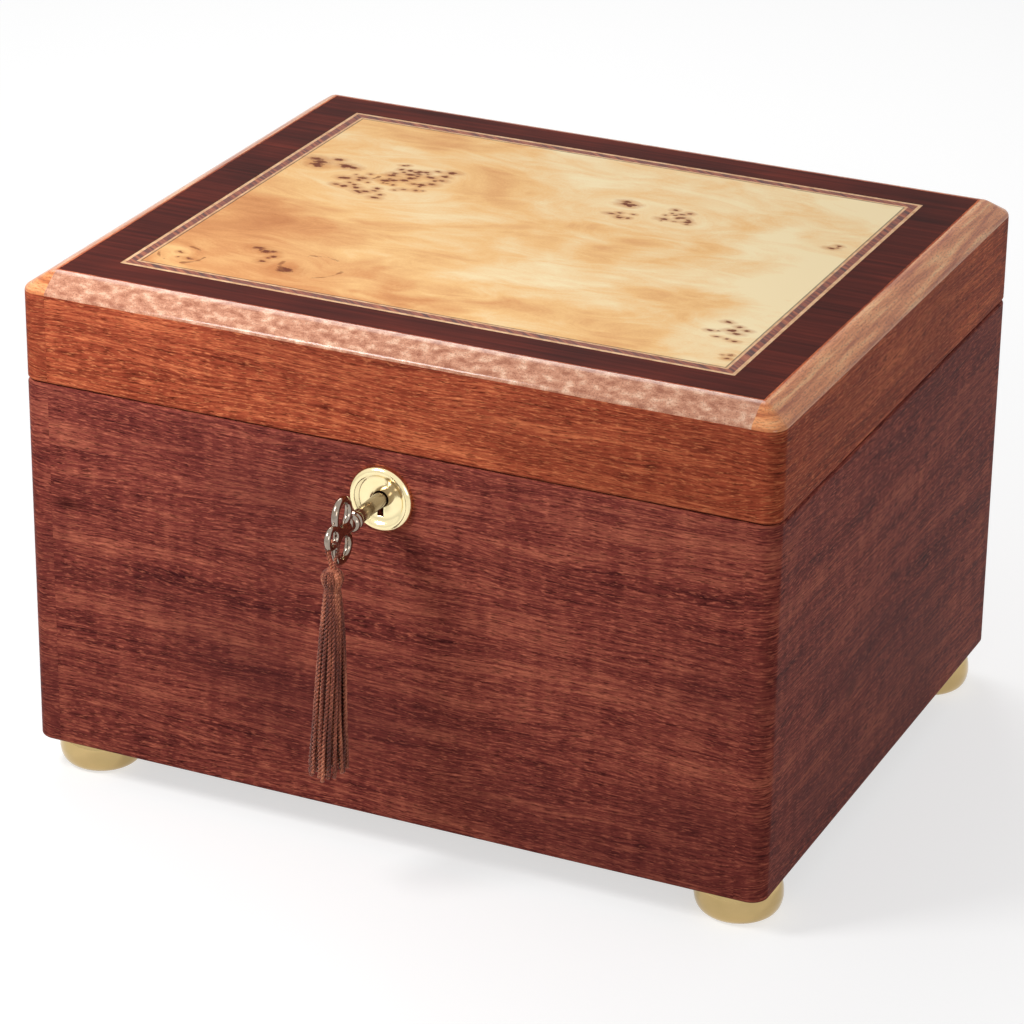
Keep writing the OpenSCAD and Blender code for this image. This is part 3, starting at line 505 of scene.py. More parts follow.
@material("plain_board_wood", Roughness=0.5)
def board_wood(tree):
    """Plain wood for boards that are only seen from below or inside."""
    at = tree.here()
    rings = tree.noise(at, (6, 170, 120), detail=4, rough=0.6)
    fine = tree.noise(at, (40, 1500, 900), detail=3)
    tone = tree.plus(tree.times(rings, 0.7), tree.times(fine, 0.3))
    wood = tree.ramp(tone, (0.35, colour(128, 88, 56)), (0.65, colour(176, 132, 90)))
    return {"Base Color": wood, "Normal": tree.bump(fine, 0.15, 0.0001)}


@material("ebonised_wood", Roughness=0.25, Coat_Weight=0.5)
def knob_wood(tree):
    """Black polished wood of the winding knob."""
    lines = tree.noise(tree.here(), (60, 700, 700), detail=3)
    return {"Base Color": tree.ramp(lines, (0.3, (0.012, 0.008, 0.007)), (0.7, (0.035, 0.02, 0.016)))}


def burl_clouds(tree, figure, flames):
    """The burl's ground: clouds and flames, with a painted reflection that makes it paler towards the
    right and the back.
    """
    at = tree.here()
    clouds = tree.noise(figure, (15, 21, 1), detail=3, rough=0.5, warp=0.9)
    fine = tree.noise(figure, (900, 1500, 1), detail=2)
    # painted reflection of the pale room behind: the ground grows paler towards the right and the back
    reflection_to_right = tree.step(tree.along(at, "X"), burl_low.x, burl_high.x, -0.09, 0.12)
    reflection_to_back = tree.step(tree.along(at, "Y"), burl_low.y, burl_high.y, -0.02, 0.10)
    tone = tree.plus(tree.times(clouds, 0.62), tree.times(flames, 0.30))
    tone = tree.plus(tone, tree.times(fine, 0.08))
    tone = tree.plus(tone, tree.plus(reflection_to_right, reflection_to_back))
    wood = tree.ramp(tone, (0.26, colour(190, 116, 66)), (0.40, colour(222, 156, 98)),
                     (0.52, colour(244, 194, 130)), (0.68, colour(252, 230, 184)))
    return wood, tree.bump(fine, 0.05, 0.00004)


@material("golden_burl_veneer", Roughness=0.32, Specular_IOR_Level=0.02)
def burl(tree):
    """Golden burl: brown eyes with halos, ringed growth lines and a dark edge on its clouds."""
    figure = tree.attribute("figure", "Vector")
    flames = tree.noise(figure, (30, 74, 1), (4, 1, 0), detail=6, rough=0.62, warp=1.4)
    wood, normal = burl_clouds(tree, figure, flames)
    ragged = tree.noise(tree.here(), (420, 620, 1), detail=3, rough=0.7)
    from_eye = tree.plus(tree.attribute("near_eye"), tree.times(tree.minus(ragged, 0.5), 2.2))
    from_ring = tree.plus(tree.attribute("near_ring"), tree.times(tree.minus(flames, 0.5), 1.2))
    layers = (
        (from_eye, 1.0, 3.4, 0.55, colour(186, 108, 54)),
        (from_eye, 0.6, 1.25, 0.95, colour(112, 48, 20)),
        (from_ring, 0.02, 0.13, 0.75, colour(142, 82, 40)),
        (tree.attribute("edge"), 0.0003, 0.0007, 0.75, colour(52, 26, 16)),
    )
    for distance, near, far, strength, tone in layers:
        wood = tree.mix(tree.step(distance, near, far, strength, 0.0), wood, tone)
    return {"Base Color": wood, "Normal": normal}


# ---------------------------------------------------------------- metal, glass and cloth


def metal(name, base, rough, brushed=(300, 300, 300), stain=(0.8, 0.8, 0.8)):
    """Metal with brushing along one way and a faint uneven tarnish."""

    def fill(tree):
        at = tree.here()
        lines = tree.noise(at, brushed, detail=4, rough=0.6)
        tarnish = tree.step(tree.noise(at, (90, 90, 90), (5, 2, 8), detail=3), 0.4, 0.75, 0.0, 0.8)
        return {
            "Base Color": tree.mix(tarnish, base, shaded(base, *stain)),
            "Roughness": tree.step(lines, 0.3, 0.7, rough * 0.8, rough * 1.3),
            "Normal": tree.bump(lines, 0.15, 0.00002),
        }

    return finish(name, fill, Metallic=1.0)


@material("turned_cylinder_brass", Metallic=1.0)
def cylinder_brass(tree):
    """Brass of the cylinder, with a fine turned line for each note's track."""
    at = tree.here()
    wave = tree.math("SINE", tree.times(tree.along(at, "X"), 2 * math.pi / TRACK_PITCH))
    turned = tree.noise(at, (3500, 25, 25), detail=2)
    tarnish = tree.noise(at, (60, 60, 60), detail=4)
    brass = tree.ramp(tarnish, (0.35, (0.50, 0.36, 0.16)), (0.7, (0.66, 0.50, 0.24)))
    return {
        "Base Color": tree.mix(tree.step(wave, 0.86, 0.99, 0.0, 0.35), brass, (0.34, 0.24, 0.1)),
        "Roughness": tree.step(turned, 0.3, 0.7, 0.24, 0.42),
    }


@material("cover_glass", Transmission_Weight=1.0, IOR=1.3, Base_Color=(0.97, 0.99, 0.98))
def glass(tree):
    """Clear glass of the dust cover."""
    dust = tree.noise(tree.here(), (200, 200, 200), detail=3)
    return {"Roughness": tree.step(dust, 0.4, 0.8, 0.0, 0.03)}


@material("red_velvet", Roughness=0.9, Sheen_Weight=0.7, Sheen_Roughness=0.4,
          Sheen_Tint=(0.9, 0.4, 0.4))
def velvet(tree):
    """Short-pile velvet inside the lid."""
    at = tree.here()
    pile = tree.noise(at, (2600, 2600, 2600), detail=2)
    crush = tree.noise(at, (26, 34, 26), detail=3, warp=0.6)
    red = tree.ramp(crush, (0.35, (0.09, 0.008, 0.012)), (0.65, (0.2, 0.02, 0.028)))
    return {"Base Color": red, "Normal": tree.bump(pile, 0.4, 0.0003)}


@material("tassel_silk", Roughness=0.55, Sheen_Weight=0.35, Sheen_Roughness=0.35,
          Sheen_Tint=(1.0, 0.75, 0.65), Specular_IOR_Level=0.35)
def silk(tree):
    """Twisted brown silk: fine threads, darker and paler, with painted highlights on each turn."""
    at = tree.here()
    threads = tree.noise(at, (5200, 5200, 900), detail=2)
    shades = tree.noise(at, (420, 420, 26), detail=2)
    tone = tree.plus(tree.times(threads, 0.45), tree.times(shades, 0.55))
    # the dark and middle browns are the silk's own colour; the pale orange end is a painted highlight
    brown = tree.ramp(tone, (0.38, colour(74, 30, 22)), (0.5, colour(132, 64, 46)),
                      (0.62, colour(226, 142, 106)))
    return {"Base Color": brown, "Normal": tree.bump(threads, 0.35, 0.00012)}


# dark, middle and light tones of each wood
RED_BROWN = (colour(70, 28, 30), colour(134, 62, 54), colour(190, 106, 82))
LID_RED = (colour(96, 36, 27), colour(170, 78, 53), colour(228, 128, 84))
INNER_BROWN = (colour(70, 34, 26), colour(112, 60, 44), colour(146, 88, 62))
MOULDING_FRONT = (colour(168, 106, 80), colour(208, 148, 118), colour(240, 196, 166))
MOULDING_SIDE = (colour(184, 96, 52), colour(232, 148, 92), colour(252, 192, 134))

FRONT_KNOT = (-0.132, 0.112, 0.009, 0.004, 0.75)
SIDE_KNOT = (0.2308, 0.060, 0.007, 0.006, 0.55)

case_wood = veneer("mahogany_case", *RED_BROWN, knots=(FRONT_KNOT, SIDE_KNOT))
lid_wood = veneer("mahogany_lid", *LID_RED, figure=0.7)
inner_wood = veneer("inner_veneer", *INNER_BROWN, gloss=0.45)
moulding_across = speckled_moulding("moulding_front_wood", MOULDING_FRONT, (1700, 1900, 1), (190, 330, 1))
moulding_along = speckled_moulding("moulding_side_wood", MOULDING_SIDE, (520, 1500, 1), (26, 420, 1))
plate_brass = metal("polished_plate_brass", (0.96, 0.82, 0.48), 0.13, stain=(0.9, 0.86, 0.78))
foot_brass = metal("lacquered_foot_brass", (0.54, 0.39, 0.18), 0.09, stain=(0.86, 0.88, 0.84))
hinge_brass = metal("hinge_brass", (0.72, 0.54, 0.25), 0.3, stain=(0.7, 0.68, 0.6))
bed_brass = metal("bedplate_brass", (0.74, 0.56, 0.26), 0.34, (30, 900, 900), (0.8, 0.75, 0.7))
wheel_brass = metal("wheel_brass", (0.78, 0.60, 0.28), 0.28, (1200, 200, 200))
barrel_brass = metal("barrel_brass", (0.74, 0.56, 0.26), 0.3, (1600, 30, 30))
steel = metal("bright_steel", (0.55, 0.55, 0.56), 0.26, (200, 900, 200))
comb_steel = metal("comb_steel", (0.48, 0.49, 0.51), 0.3, (1500, 60, 300))
blued = metal("blued_steel", (0.06, 0.09, 0.24), 0.24, stain=(1.3, 1.1, 0.9))
dark_nickel = metal("dark_nickel", (0.36, 0.30, 0.25), 0.12, (500, 500, 500), (0.7, 0.62, 0.5))
iron = metal("bolt_iron", (0.40, 0.36, 0.30), 0.4, (700, 80, 700), (0.7, 0.62, 0.5))

# ---------------------------------------------------------------- twisted cords, grown by a node tree


def geometry_tree(name, inputs):
    """An empty geometry tree with named inputs, and its group nodes."""
    group = bpy.data.node_groups.new(name, "GeometryNodeTree")
    for label, kind, value in inputs:
        socket = group.interface.new_socket(label, in_out="INPUT", socket_type="NodeSocket" + kind)
        if value is not None:
            socket.default_value = value
    group.interface.new_socket("Geometry", in_out="OUTPUT", socket_type="NodeSocketGeometry")
    tree = Tree(group)
    return tree, tree.add("NodeGroupInput").outputs


def end_tree(tree, geometry, finish_input):
    """Realize Instances, Set Material and the group's output."""
    real = tree.add("GeometryNodeRealizeInstances", {"Geometry": geometry})
    painted = tree.add("GeometryNodeSetMaterial", {
        "Geometry": real.outputs[0], "Material": finish_input,
    })
    tree.add("NodeGroupOutput", {"Geometry": painted.outputs[0]})
    return tree.tree


def plain_mesh(thing):
    """The mesh that an object has after its modifiers."""
    graph = bpy.context.evaluated_depsgraph_get()
    return bpy.data.meshes.new_from_object(thing.evaluated_get(graph))


def grow(name, group, values, base=None):
    """Runs a geometry tree on a base object and keeps the result as a plain mesh."""
    if base is None:
        base = new_piece(name + "_base", [], [])
    modifier = base.modifiers.new("grow", "NODES")
    modifier.node_group = group
    for socket in group.interface.items_tree:
        if socket.in_out == "INPUT" and socket.name in values:
            modifier[socket.identifier] = values[socket.name]
    mesh = plain_mesh(base)
    bpy.data.objects.remove(base)
    mesh.name = name
    return placed(name, mesh)


def strand_offset(tree, side, other, angle, radius):
    """How far a strand lies from its path: round it, at an angle."""
    parts = []
    for way, turn in ((side, "COSINE"), (other, "SINE")):
        reach = tree.times(tree.math(turn, angle), radius)
        scaled = tree.add("ShaderNodeVectorMath", {0: way, "Scale": reach}, operation="SCALE")
        parts.append(scaled.outputs[0])
    return tree.vector("ADD", *parts)


def end_knots(tree, path, radius):
    """A small ball where each path ends, if its radius isn't zero."""
    ends = tree.add("GeometryNodeCurveEndpointSelection", {"Start Size": 0, "End Size": 1}).outputs[0]
    wanted = tree.add("FunctionNodeCompare", {0: radius, 1: 0.00001}, operation="GREATER_THAN").outputs[0]
    chosen = tree.add("FunctionNodeBooleanMath", {0: ends, 1: wanted}, operation="AND").outputs[0]
    knot = tree.add("GeometryNodeMeshIcoSphere", {"Radius": radius, "Subdivisions": 2})
    return tree.add("GeometryNodeInstanceOnPoints", {
        "Points": path, "Selection": chosen, "Instance": knot.outputs["Mesh"],
    }).outputs[0]


def twisted_cord_tree():
    """Two strands laid round each path, with a small knot where a path ends."""
    tree, given = geometry_tree("twisted_cord", (
        ("Geometry", "Geometry", None), ("Strand Radius", "Float", 0.0005),
        ("Twist Pitch", "Float", 0.003), ("Step", "Float", 0.0008), ("Sides", "Int", 6),
        ("Side Direction", "Vector", (0, 1, 0)), ("Knot Radius", "Float", 0.0),
        ("Material", "Material", None),
    ))
    path = tree.add("GeometryNodeResampleCurve", {
        "Curve": given["Geometry"], "Length": given["Step"],
    }, mode="LENGTH").outputs[0]
    tangent = tree.add("GeometryNodeInputTangent").outputs[0]
    side = tree.vector("NORMALIZE", tree.vector("CROSS_PRODUCT", tangent, given["Side Direction"]))
    other = tree.vector("CROSS_PRODUCT", tangent, side)
    along = tree.add("GeometryNodeSplineParameter").outputs["Length"]
    turn = tree.math("DIVIDE", tree.times(along, 2 * math.pi), given["Twist Pitch"])
    profile = tree.add("GeometryNodeCurvePrimitiveCircle", {
        "Resolution": given["Sides"], "Radius": given["Strand Radius"],
    }).outputs["Curve"]
    laid = tree.add("GeometryNodeJoinGeometry")
    for phase in (0.0, math.pi):
        offset = strand_offset(tree, side, other, tree.plus(turn, phase), given["Strand Radius"])
        moved = tree.add("GeometryNodeSetPosition", {"Geometry": path, "Offset": offset})
        strand = tree.add("GeometryNodeCurveToMesh", {
            "Curve": moved.outputs[0], "Profile Curve": profile, "Fill Caps": True,
        })
        tree.tree.links.new(strand.outputs[0], laid.inputs[0])
    tree.tree.links.new(end_knots(tree, path, given["Knot Radius"]), laid.inputs[0])
    shaded_cord = tree.add("GeometryNodeSetShadeSmooth", {"Geometry": laid.outputs[0]})
    return end_tree(tree, shaded_cord.outputs[0], given["Material"])


def path_curves(name, paths):
    """A curve object of straight-run splines through lists of points."""
    data = bpy.data.curves.new(name, "CURVE")
    data.dimensions = "3D"
    for points in paths:
        spline = data.splines.new("POLY")
        spline.points.add(len(points) - 1)
        for point, place in zip(spline.points, points):
            point.co = (*place, 1)
    return placed(name, data)


def through(points, steps):
    """A smooth line through a few points, with steps on each stretch."""
    points = [Vector(p) for p in points]
    line = []
    for i in range(len(points) - 1):
        before = points[max(i - 1, 0)]
        after = points[min(i + 2, len(points) - 1)]
        a, b = points[i], points[i + 1]
        for k in range(steps):
            t = k / steps
            line.append(0.5 * (
                2 * a + (b - before) * t + (2 * before - 5 * a + 4 * b - after) * t ** 2
                + (3 * a - before - 3 * b + after) * t ** 3
            ))
    line.append(points[-1])
    return line


cord_tree = twisted_cord_tree()


def twisted(name, paths, strand, pitch, side=(0, 1, 0), knot=0.0, step=0.0008, sides=6):
    """Twisted silk cords along lists of points."""
    return grow(name, cord_tree, {
        "Strand Radius": strand, "Twist Pitch": pitch, "Side Direction": side,
        "Knot Radius": knot, "Step": step, "Sides": sides, "Material": silk,
    }, base=path_curves(name + "_paths", paths))


# ---------------------------------------------------------------- the tassel

HOLE_Y = (head_low.y + head_high.y) / 2  # the ring that holds the tassel, and the tassel's middle
BALL_R = 4.3 * MM
BALL_Z = head_high.z - BALL_R
BALL_CORD_R = 0.55 * MM
NECK_R = 2.3 * MM
COLLAR_Z = head_low.z
LOOP_D = 1.3 * MM
LOOP_TOP = -1.2  # the loop's highest point, in mm from the key's axis
LOOP_SIDE = (  # out from the middle and up from the key's axis, in mm, from inside the ball
    (0.5, -14.8), (0.55, -12.8), (0.7, -10.9), (0.9, -9.4), (1.3, -7.9), (1.8, -6.4),
    (2.2, -5.0), (2.4, -3.6), (2.4, -2.5), (2.2, -1.8), (1.8, -1.35), (1.0, LOOP_TOP),
)


def tassel_loop():
    """The cord from inside the ball, through the ring of the key's bow and back into the ball."""
    left = [(LOCK_X - x * MM, HOLE_Y, KEY_Z + z * MM) for x, z in LOOP_SIDE]
    right = [(LOCK_X + x * MM, HOLE_Y, KEY_Z + z * MM) for x, z in reversed(LOOP_SIDE)]
    line = through(left + [(LOCK_X, HOLE_Y, KEY_Z + LOOP_TOP * MM)] + right, 4)
    loop = twisted("tassel_loop_cord", [line], LOOP_D / 4, 2.6 * MM, step=0.25 * MM)
    fix_on(loop, "tassel_cord", "tassel_loop", "tassel_loop")


def tassel_ball(count=24, steps=16):
    """Cords drawn down over the ball like meridians and gathered at the neck."""
    centre = Vector((LOCK_X, HOLE_Y, BALL_Z))
    meridians = []
    for i in range(count):
        a = 2 * math.pi * i / count
        line = []
        for k in range(steps + 1):
            tip = math.radians(12 + 140 * k / steps)
            sway = 0.05 * math.sin(3 * tip + 2.3 * i)
            out = Vector((math.cos(a + sway), math.sin(a + sway), 0))
            reach = math.sin(tip) * out + Vector((0, 0, math.cos(tip)))
            line.append(centre + (BALL_R - BALL_CORD_R) * reach)
        foot = centre + NECK_R * Vector((math.cos(a), math.sin(a), 0))
        foot.z = COLLAR_Z + 1.6 * MM
        meridians.append(line[:-3] + [foot])
    return twisted("tassel_ball_cords", meridians, BALL_CORD_R / 2, 2.4 * MM, step=0.5 * MM, sides=5)


def tassel_collar(turns=4, each=24):
    """The cord wound round the neck."""
    collar = []
    radius = NECK_R + 0.45 * MM
    for k in range(turns * each + 1):
        a = 2 * math.pi * k / each
        z = COLLAR_Z + (0.3 + 0.7 * k / each) * MM
        collar.append(Vector((LOCK_X + radius * math.cos(a), HOLE_Y + radius * math.sin(a), z)))
    return twisted("tassel_collar_cord", [collar], 0.19 * MM, 1.1 * MM, side=(0, 0, 1),
                   step=0.35 * MM, sides=5)


def tassel_core():
    """The neck and the ball under the cords."""
    neck = [(0, COLLAR_Z), (NECK_R, COLLAR_Z), (NECK_R, COLLAR_Z + 1.8 * MM)]
    ball = [(x, BALL_Z + y) for x, y in arc(0, 0, BALL_R - BALL_CORD_R - 0.15 * MM, -50, 90, 12)]
    core = lathe("tassel_core", neck + ball, (LOCK_X, HOLE_Y, 0))
    core.data.materials.append(silk)
    return core


def tassel_skirt(steps=24):
    """Three rings of twisted cords that hang from the collar, flare a little and lean to the left."""
    dice = random.Random(5)
    # how many cords a ring has, and how far out they start and end
    rings = ((18, 2.5 * MM, 6.7 * MM), (12, 1.5 * MM, 4.3 * MM), (6, 0.6 * MM, 2.0 * MM))
    top = COLLAR_Z + 0.6 * MM
    full = top - skirt_low.z - 1.2 * MM
    lean = 2.2 * MM
    paths = []
    for count, r_top, r_foot in rings:
        for i in range(count):
            a = 2 * math.pi * (i + dice.uniform(-0.22, 0.22)) / count
            long = full - dice.uniform(0, 3.2) * MM
            wave = dice.uniform(0, 2 * math.pi)
            sway = dice.uniform(0.15, 0.55) * MM
            line = []
            for k in range(steps + 1):
                t = k / steps
                spread = 1 - (1 - t) ** 3
                pinch = 1 - 0.10 * math.sin(math.pi * min(1, t * 1.15))
                r = (r_top + (r_foot - r_top) * (0.55 * spread + 0.45 * t)) * pinch
                turn = a + 0.05 * math.sin(wave + 5 * t)
                x = LOCK_X + r * math.cos(turn) + sway * t * math.sin(wave + 6 * t) - lean * t ** 1.5
                y = HOLE_Y + r * math.sin(turn) + sway * t * math.cos(wave + 5 * t)
                line.append(Vector((x, y, top - long * t)))
            paths.append(line)
    skirt = twisted("tassel_skirt_cords", paths, 0.44 * MM, 3.3 * MM, knot=0.85 * MM, step=0.7 * MM)
    fix_on(skirt, "tassel_cord", "tassel", "tassel_skirt")


def tassel():
    """The loop, the head of cords bound by a collar, and the skirt."""
    tassel_loop()
    head = join("tassel_head_cords", [tassel_ball(), tassel_collar(), tassel_core()])
    fix_on(head, "tassel_cord", "tassel", "tassel_head")
    tassel_skirt()


tassel()

# ---------------------------------------------------------------- the chest

CORNER_R = 6.5 * MM
IN_X = OUTER_X - WALL
IN_Y = OUTER_Y - WALL
CORNER_ARC = 2 * (WALL - CORNER_R) + CORNER_R * math.pi / 2
SIDE_START = IN_X + CORNER_ARC + IN_Y  # where the right side's grain takes up from the front's
SIDES = ("front", "back", "left", "right")


def case_section():
    """Outline of a case wall: distance out from the inner face, and height."""
    high = CASE_HIGH - CASE_LOW
    out = WALL - EDGE_R
    return ([(0, 0)] + arc(out, EDGE_R, EDGE_R, -90, 0, 5)
            + arc(out, high - EDGE_R, EDGE_R, 0, 90, 5) + [(0, high)])


def lid_section():
    """Outline of a lid rail, with soft bends below and above its sloping moulding."""
    low = Vector((WALL, RAIL_H - SLOPE_H))
    high = Vector((WALL - SLOPE_W, RAIL_H))
    along = (high - low).normalized()
    soft = 2.2 * MM
    bend = 1.4 * MM
    return ([(0, 0)] + arc(WALL - EDGE_R, EDGE_R, EDGE_R, -90, 0, 5)
            + curve(low - Vector((0, bend)), low, low + bend * along, 8)
            + curve(high - soft * along, high, high - Vector((soft, 0)), 8)
            + [(0, RAIL_H)])


def run(name, section, z, stations):
    """Draws a section along stations of (corner point, way out, distance along the grain)."""
    count = len(section)
    heights = [0.0]
    for a, b in zip(section, section[1:]):
        heights.append(heights[-1] + math.hypot(b[0] - a[0], b[1] - a[1]))
    vertices, uvs = [], []
    for place, out, along in stations:
        for (t, h), v in zip(section, heights):
            vertices.append(Vector((place[0] + t * out[0], place[1] + t * out[1], z + h)))
            uvs.append((along, v))
    faces = skin(len(stations), count, ring_of_rows=False)
    faces.append(tuple(range(count)))
    faces.append(tuple(reversed(range(len(vertices) - count, len(vertices)))))
    piece = new_piece(name, vertices, faces)
    set_uv(piece, lambda index, place: uvs[index])
    with editing(piece.data) as work:
        bmesh.ops.recalc_face_normals(work, faces=work.faces)
    smooth(piece, 40)
    piece.modifiers.new("flat_faces", "WEIGHTED_NORMAL").keep_sharp = True
    return piece


def corner_outline(steps=12):
    """Plan of a corner as shares of the wall: two short flats and a round edge between them."""
    radius = CORNER_R / WALL
    return [(0, 1)] + arc(1 - radius, 1 - radius, radius, 90, 0, steps) + [(1, 0)]


def corner_stations():
    """Stations of the four upright corners, each from one face to the next, grain carried round."""
    corners = []
    for sx, sy in ((1, -1), (1, 1), (-1, 1), (-1, -1)):
        stations = []
        along = IN_X
        before = None
        for x, y in corner_outline():
            if before:
                along += WALL * math.hypot(x - before[0], y - before[1])
            before = (x, y)
            stations.append(((sx * IN_X, sy * IN_Y), (sx * x, sy * y), along))
        corners.append(stations)
    return corners


def straight_stations(side):
    """Two stations of a straight run at the front, back, left or right."""
    if side in ("front", "back"):
        sy = -1 if side == "front" else 1
        return [((x, sy * IN_Y), (0, sy), x) for x in (-IN_X, IN_X)]
    sx = -1 if side == "left" else 1
    return [((sx * IN_X, y), (sx, 0), SIDE_START + y) for y in (-IN_Y, IN_Y)]


def paint_rail(piece, below, moulding):
    """Two finishes: the flat of the rail, and its moulding from the lower bend up."""
    piece.data.materials.append(below)
    piece.data.materials.append(moulding)
    bend_z = SEAM_Z + RAIL_H - SLOPE_H - 0.9 * MM
    for face in piece.data.polygons:
        level = abs(face.normal.z) > 0.999
        if face.center.z > bend_z and not level and len(face.vertices) == 4:
            face.material_index = 1


def lid_rails():
    """The four rails of the lid and their rounded corners."""
    section = lid_section()
    for side in SIDES:
        rail = run("lid_rail_" + side, section, SEAM_Z, straight_stations(side))
        paint_rail(rail, lid_wood, moulding_along if side in ("left", "right") else moulding_across)
        fix_on(rail, "mahogany_lid", "lid", "lid_" + side)
    corners = []
    for i, stations in enumerate(corner_stations()):
        corner = run("lid_corner_" + str(i), section, SEAM_Z, stations)
        paint_rail(corner, lid_wood, moulding_along)
        corners.append(corner)
    fix_on(join("lid_corner_blocks", corners), "mahogany_lid", "lid", "lid_corners")


def case_corners():
    """The rounded upright corners of the case."""
    section = case_section()
    corners = []
    for i, stations in enumerate(corner_stations()):
        corner = run("case_corner_" + str(i), section, CASE_LOW, stations)
        corner.data.materials.append(case_wood)
        corners.append(corner)
    fix_on(join("case_corner_posts", corners), "mahogany_case", "root", "case_posts")


def grained(node, wood, along="x", shift=0.0, ease=0.0):
    """A dressed board whose grain runs along x or y."""
    piece = dressed(node, wood, ease, sharp=50)

    def to_uv(index, place):
        above = place.z - CASE_LOW + WALL
        if along == "x":
            return place.x + shift, above + (place.y - FRONT_Y) * 0.9
        return place.y + shift, above + (OUTER_X - abs(place.x)) * 0.9

    set_uv(piece, to_uv)


def boards():
    """The four walls of the case, then the deck, partitions and the frame that holds the glass."""
    grained("case_front", case_wood)
    grained("case_back", case_wood, shift=0.9)
    grained("case_left", case_wood, "y", shift=SIDE_START)
    grained("case_right", case_wood, "y", shift=SIDE_START)
    grained("deck", inner_wood, shift=2.0, ease=0.3 * MM)
    grained("partition_left", inner_wood, "y", shift=3.0, ease=0.5 * MM)
    grained("partition_right", inner_wood, "y", shift=4.0, ease=0.5 * MM)
    grained("glass_frame", inner_wood, shift=5.0, ease=0.6 * MM)
    for node in ("case_bottom", "deck_battens", "lid_board"):
        paint(node, board_wood)


BURL_CLUSTERS = (  # middle, spread in x and y, how many eyes, and the largest radius, in mm
    (-66, 33, 11, 15, 46, 1.15), (-101, 37, 11, 6, 10, 1.7), (-86, 24, 6, 9, 12, 1.2),
    (-75, 13, 6, 5, 6, 1.0), (-80, -65, 6, 7, 9, 1.3), (21, 46, 4, 3, 5, 1.2),
    (22, 34, 5, 3, 7, 0.9), (43, 41, 7, 7, 20, 0.95), (107, 38, 5, 2, 4, 0.9),
    (104, -58, 6, 9, 14, 0.9), (113, -80, 3, 3, 5, 0.8), (-104, -78, 5, 3, 4, 0.9),
)
LONE_EYE = (-64.7, -75.3, 2.4, 1.3)
BURL_RINGS = ((-57, -68, 12, 11), (-106, -78, 9, 8), (-86, 31, 7, 5))  # middle and half widths, in mm


def burl_eyes():
    """The eyes: place, radius, and how long each is drawn out along x."""
    dice = random.Random(11)
    eyes = []
    for x, y, spread_x, spread_y, count, largest in BURL_CLUSTERS:
        for _ in range(count):
            eyes.append((x + dice.uniform(-1, 1) * spread_x, y + dice.uniform(-1, 1) * spread_y,
                         dice.uniform(0.45, 1) * largest, dice.uniform(1.0, 1.9)))
    return eyes + [LONE_EYE]


def burl_figure(x, y):
    """At points in mm: nearness to an eye and to a ring, and the lines bent round the eyes."""
    near = np.full(len(x), 6.0)
    ring = np.full(len(x), 1.0)
    flow_x, flow_y = x.copy(), y.copy()
    for ex, ey, r, long in burl_eyes():
        far = ((x - ex) / long) ** 2 + (y - ey) ** 2
        near = np.minimum(near, np.sqrt(far) / r)
        push = (2.6 * r) ** 2 / (far + (2.0 * r) ** 2)
        flow_x -= (x - ex) * push * 0.5
        flow_y -= (y - ey) * push * 0.9
    for rx, ry, wide, deep in BURL_RINGS:
        far = np.sqrt(((x - rx) / wide) ** 2 + ((y - ry) / deep) ** 2)
        broken = np.sin(3 * np.arctan2(y - ry, x - rx)) > 0.3
        ring = np.minimum(ring, np.abs(far - 1) * 1.6 + 0.25 * broken)
        swirl = 0.9 * np.exp(-far ** 2)
        flow_x -= (y - ry) * swirl
        flow_y += (x - rx) * swirl
    return near, ring, flow_x, flow_y


def burl_panel(step=0.75 * MM):
    """The burl leaf as a fine grid that carries its figure, with a rim and an underside."""
    nx = round((burl_high.x - burl_low.x) / step)
    ny = round((burl_high.y - burl_low.y) / step)
    xs = np.linspace(burl_low.x, burl_high.x, nx + 1)
    ys = np.linspace(burl_low.y, burl_high.y, ny + 1)
    grid_x, grid_y = [g.ravel() for g in np.meshgrid(xs, ys)]
    vertices = [(a, b, burl_high.z) for a, b in zip(grid_x, grid_y)]
    wide = nx + 1
    faces = [(j * wide + i, j * wide + i + 1, (j + 1) * wide + i + 1, (j + 1) * wide + i)
             for j in range(ny) for i in range(nx)]
    rim = ([i for i in range(wide)] + [j * wide + nx for j in range(1, ny + 1)]
           + [ny * wide + i for i in range(nx - 1, -1, -1)] + [j * wide for j in range(ny - 1, 0, -1)])
    below = len(vertices)
    vertices += [(vertices[k][0], vertices[k][1], burl_low.z) for k in rim]
    for i in range(len(rim)):
        j = (i + 1) % len(rim)
        faces.append((rim[j], rim[i], below + i, below + j))
    faces.append(tuple(below + i for i in range(len(rim)))[::-1])
    piece = new_piece("burl_leaf", vertices, faces)
    near, ring, flow_x, flow_y = burl_figure(grid_x / MM, grid_y / MM)
    edge = np.minimum.reduce([
        grid_x - burl_low.x, burl_high.x - grid_x, grid_y - burl_low.y, burl_high.y - grid_y,
    ])

    def store(name, kind, field, values):
        """An attribute of the grid, repeated round the rim's lower points."""
        whole = np.concatenate([values, values[rim]]).astype(np.float32)
        piece.data.attributes.new(name, kind, "POINT").data.foreach_set(field, whole.ravel())

    store("figure", "FLOAT_VECTOR", "vector", np.stack([flow_x, flow_y, np.zeros_like(flow_x)], 1) * MM)
    store("near_eye", "FLOAT", "value", near)
    store("near_ring", "FLOAT", "value", ring)
    store("edge", "FLOAT", "value", edge)
    piece.data.materials.append(burl)
    fix_on(piece, "burl", "lid", "burl_panel")


def lid_top():
    """The flat veneers and the lining keep their solids; the burl has its own leaf."""
    paint("border_veneer", border_wood)
    paint("outer_string", string_wood)
    paint("inner_string", string_wood)
    paint("inlay_band", band_wood)
    paint("lid_lining", velvet)
    burl_panel()


lid_rails()
case_corners()
boards()
lid_top()

# ---------------------------------------------------------------- hardware

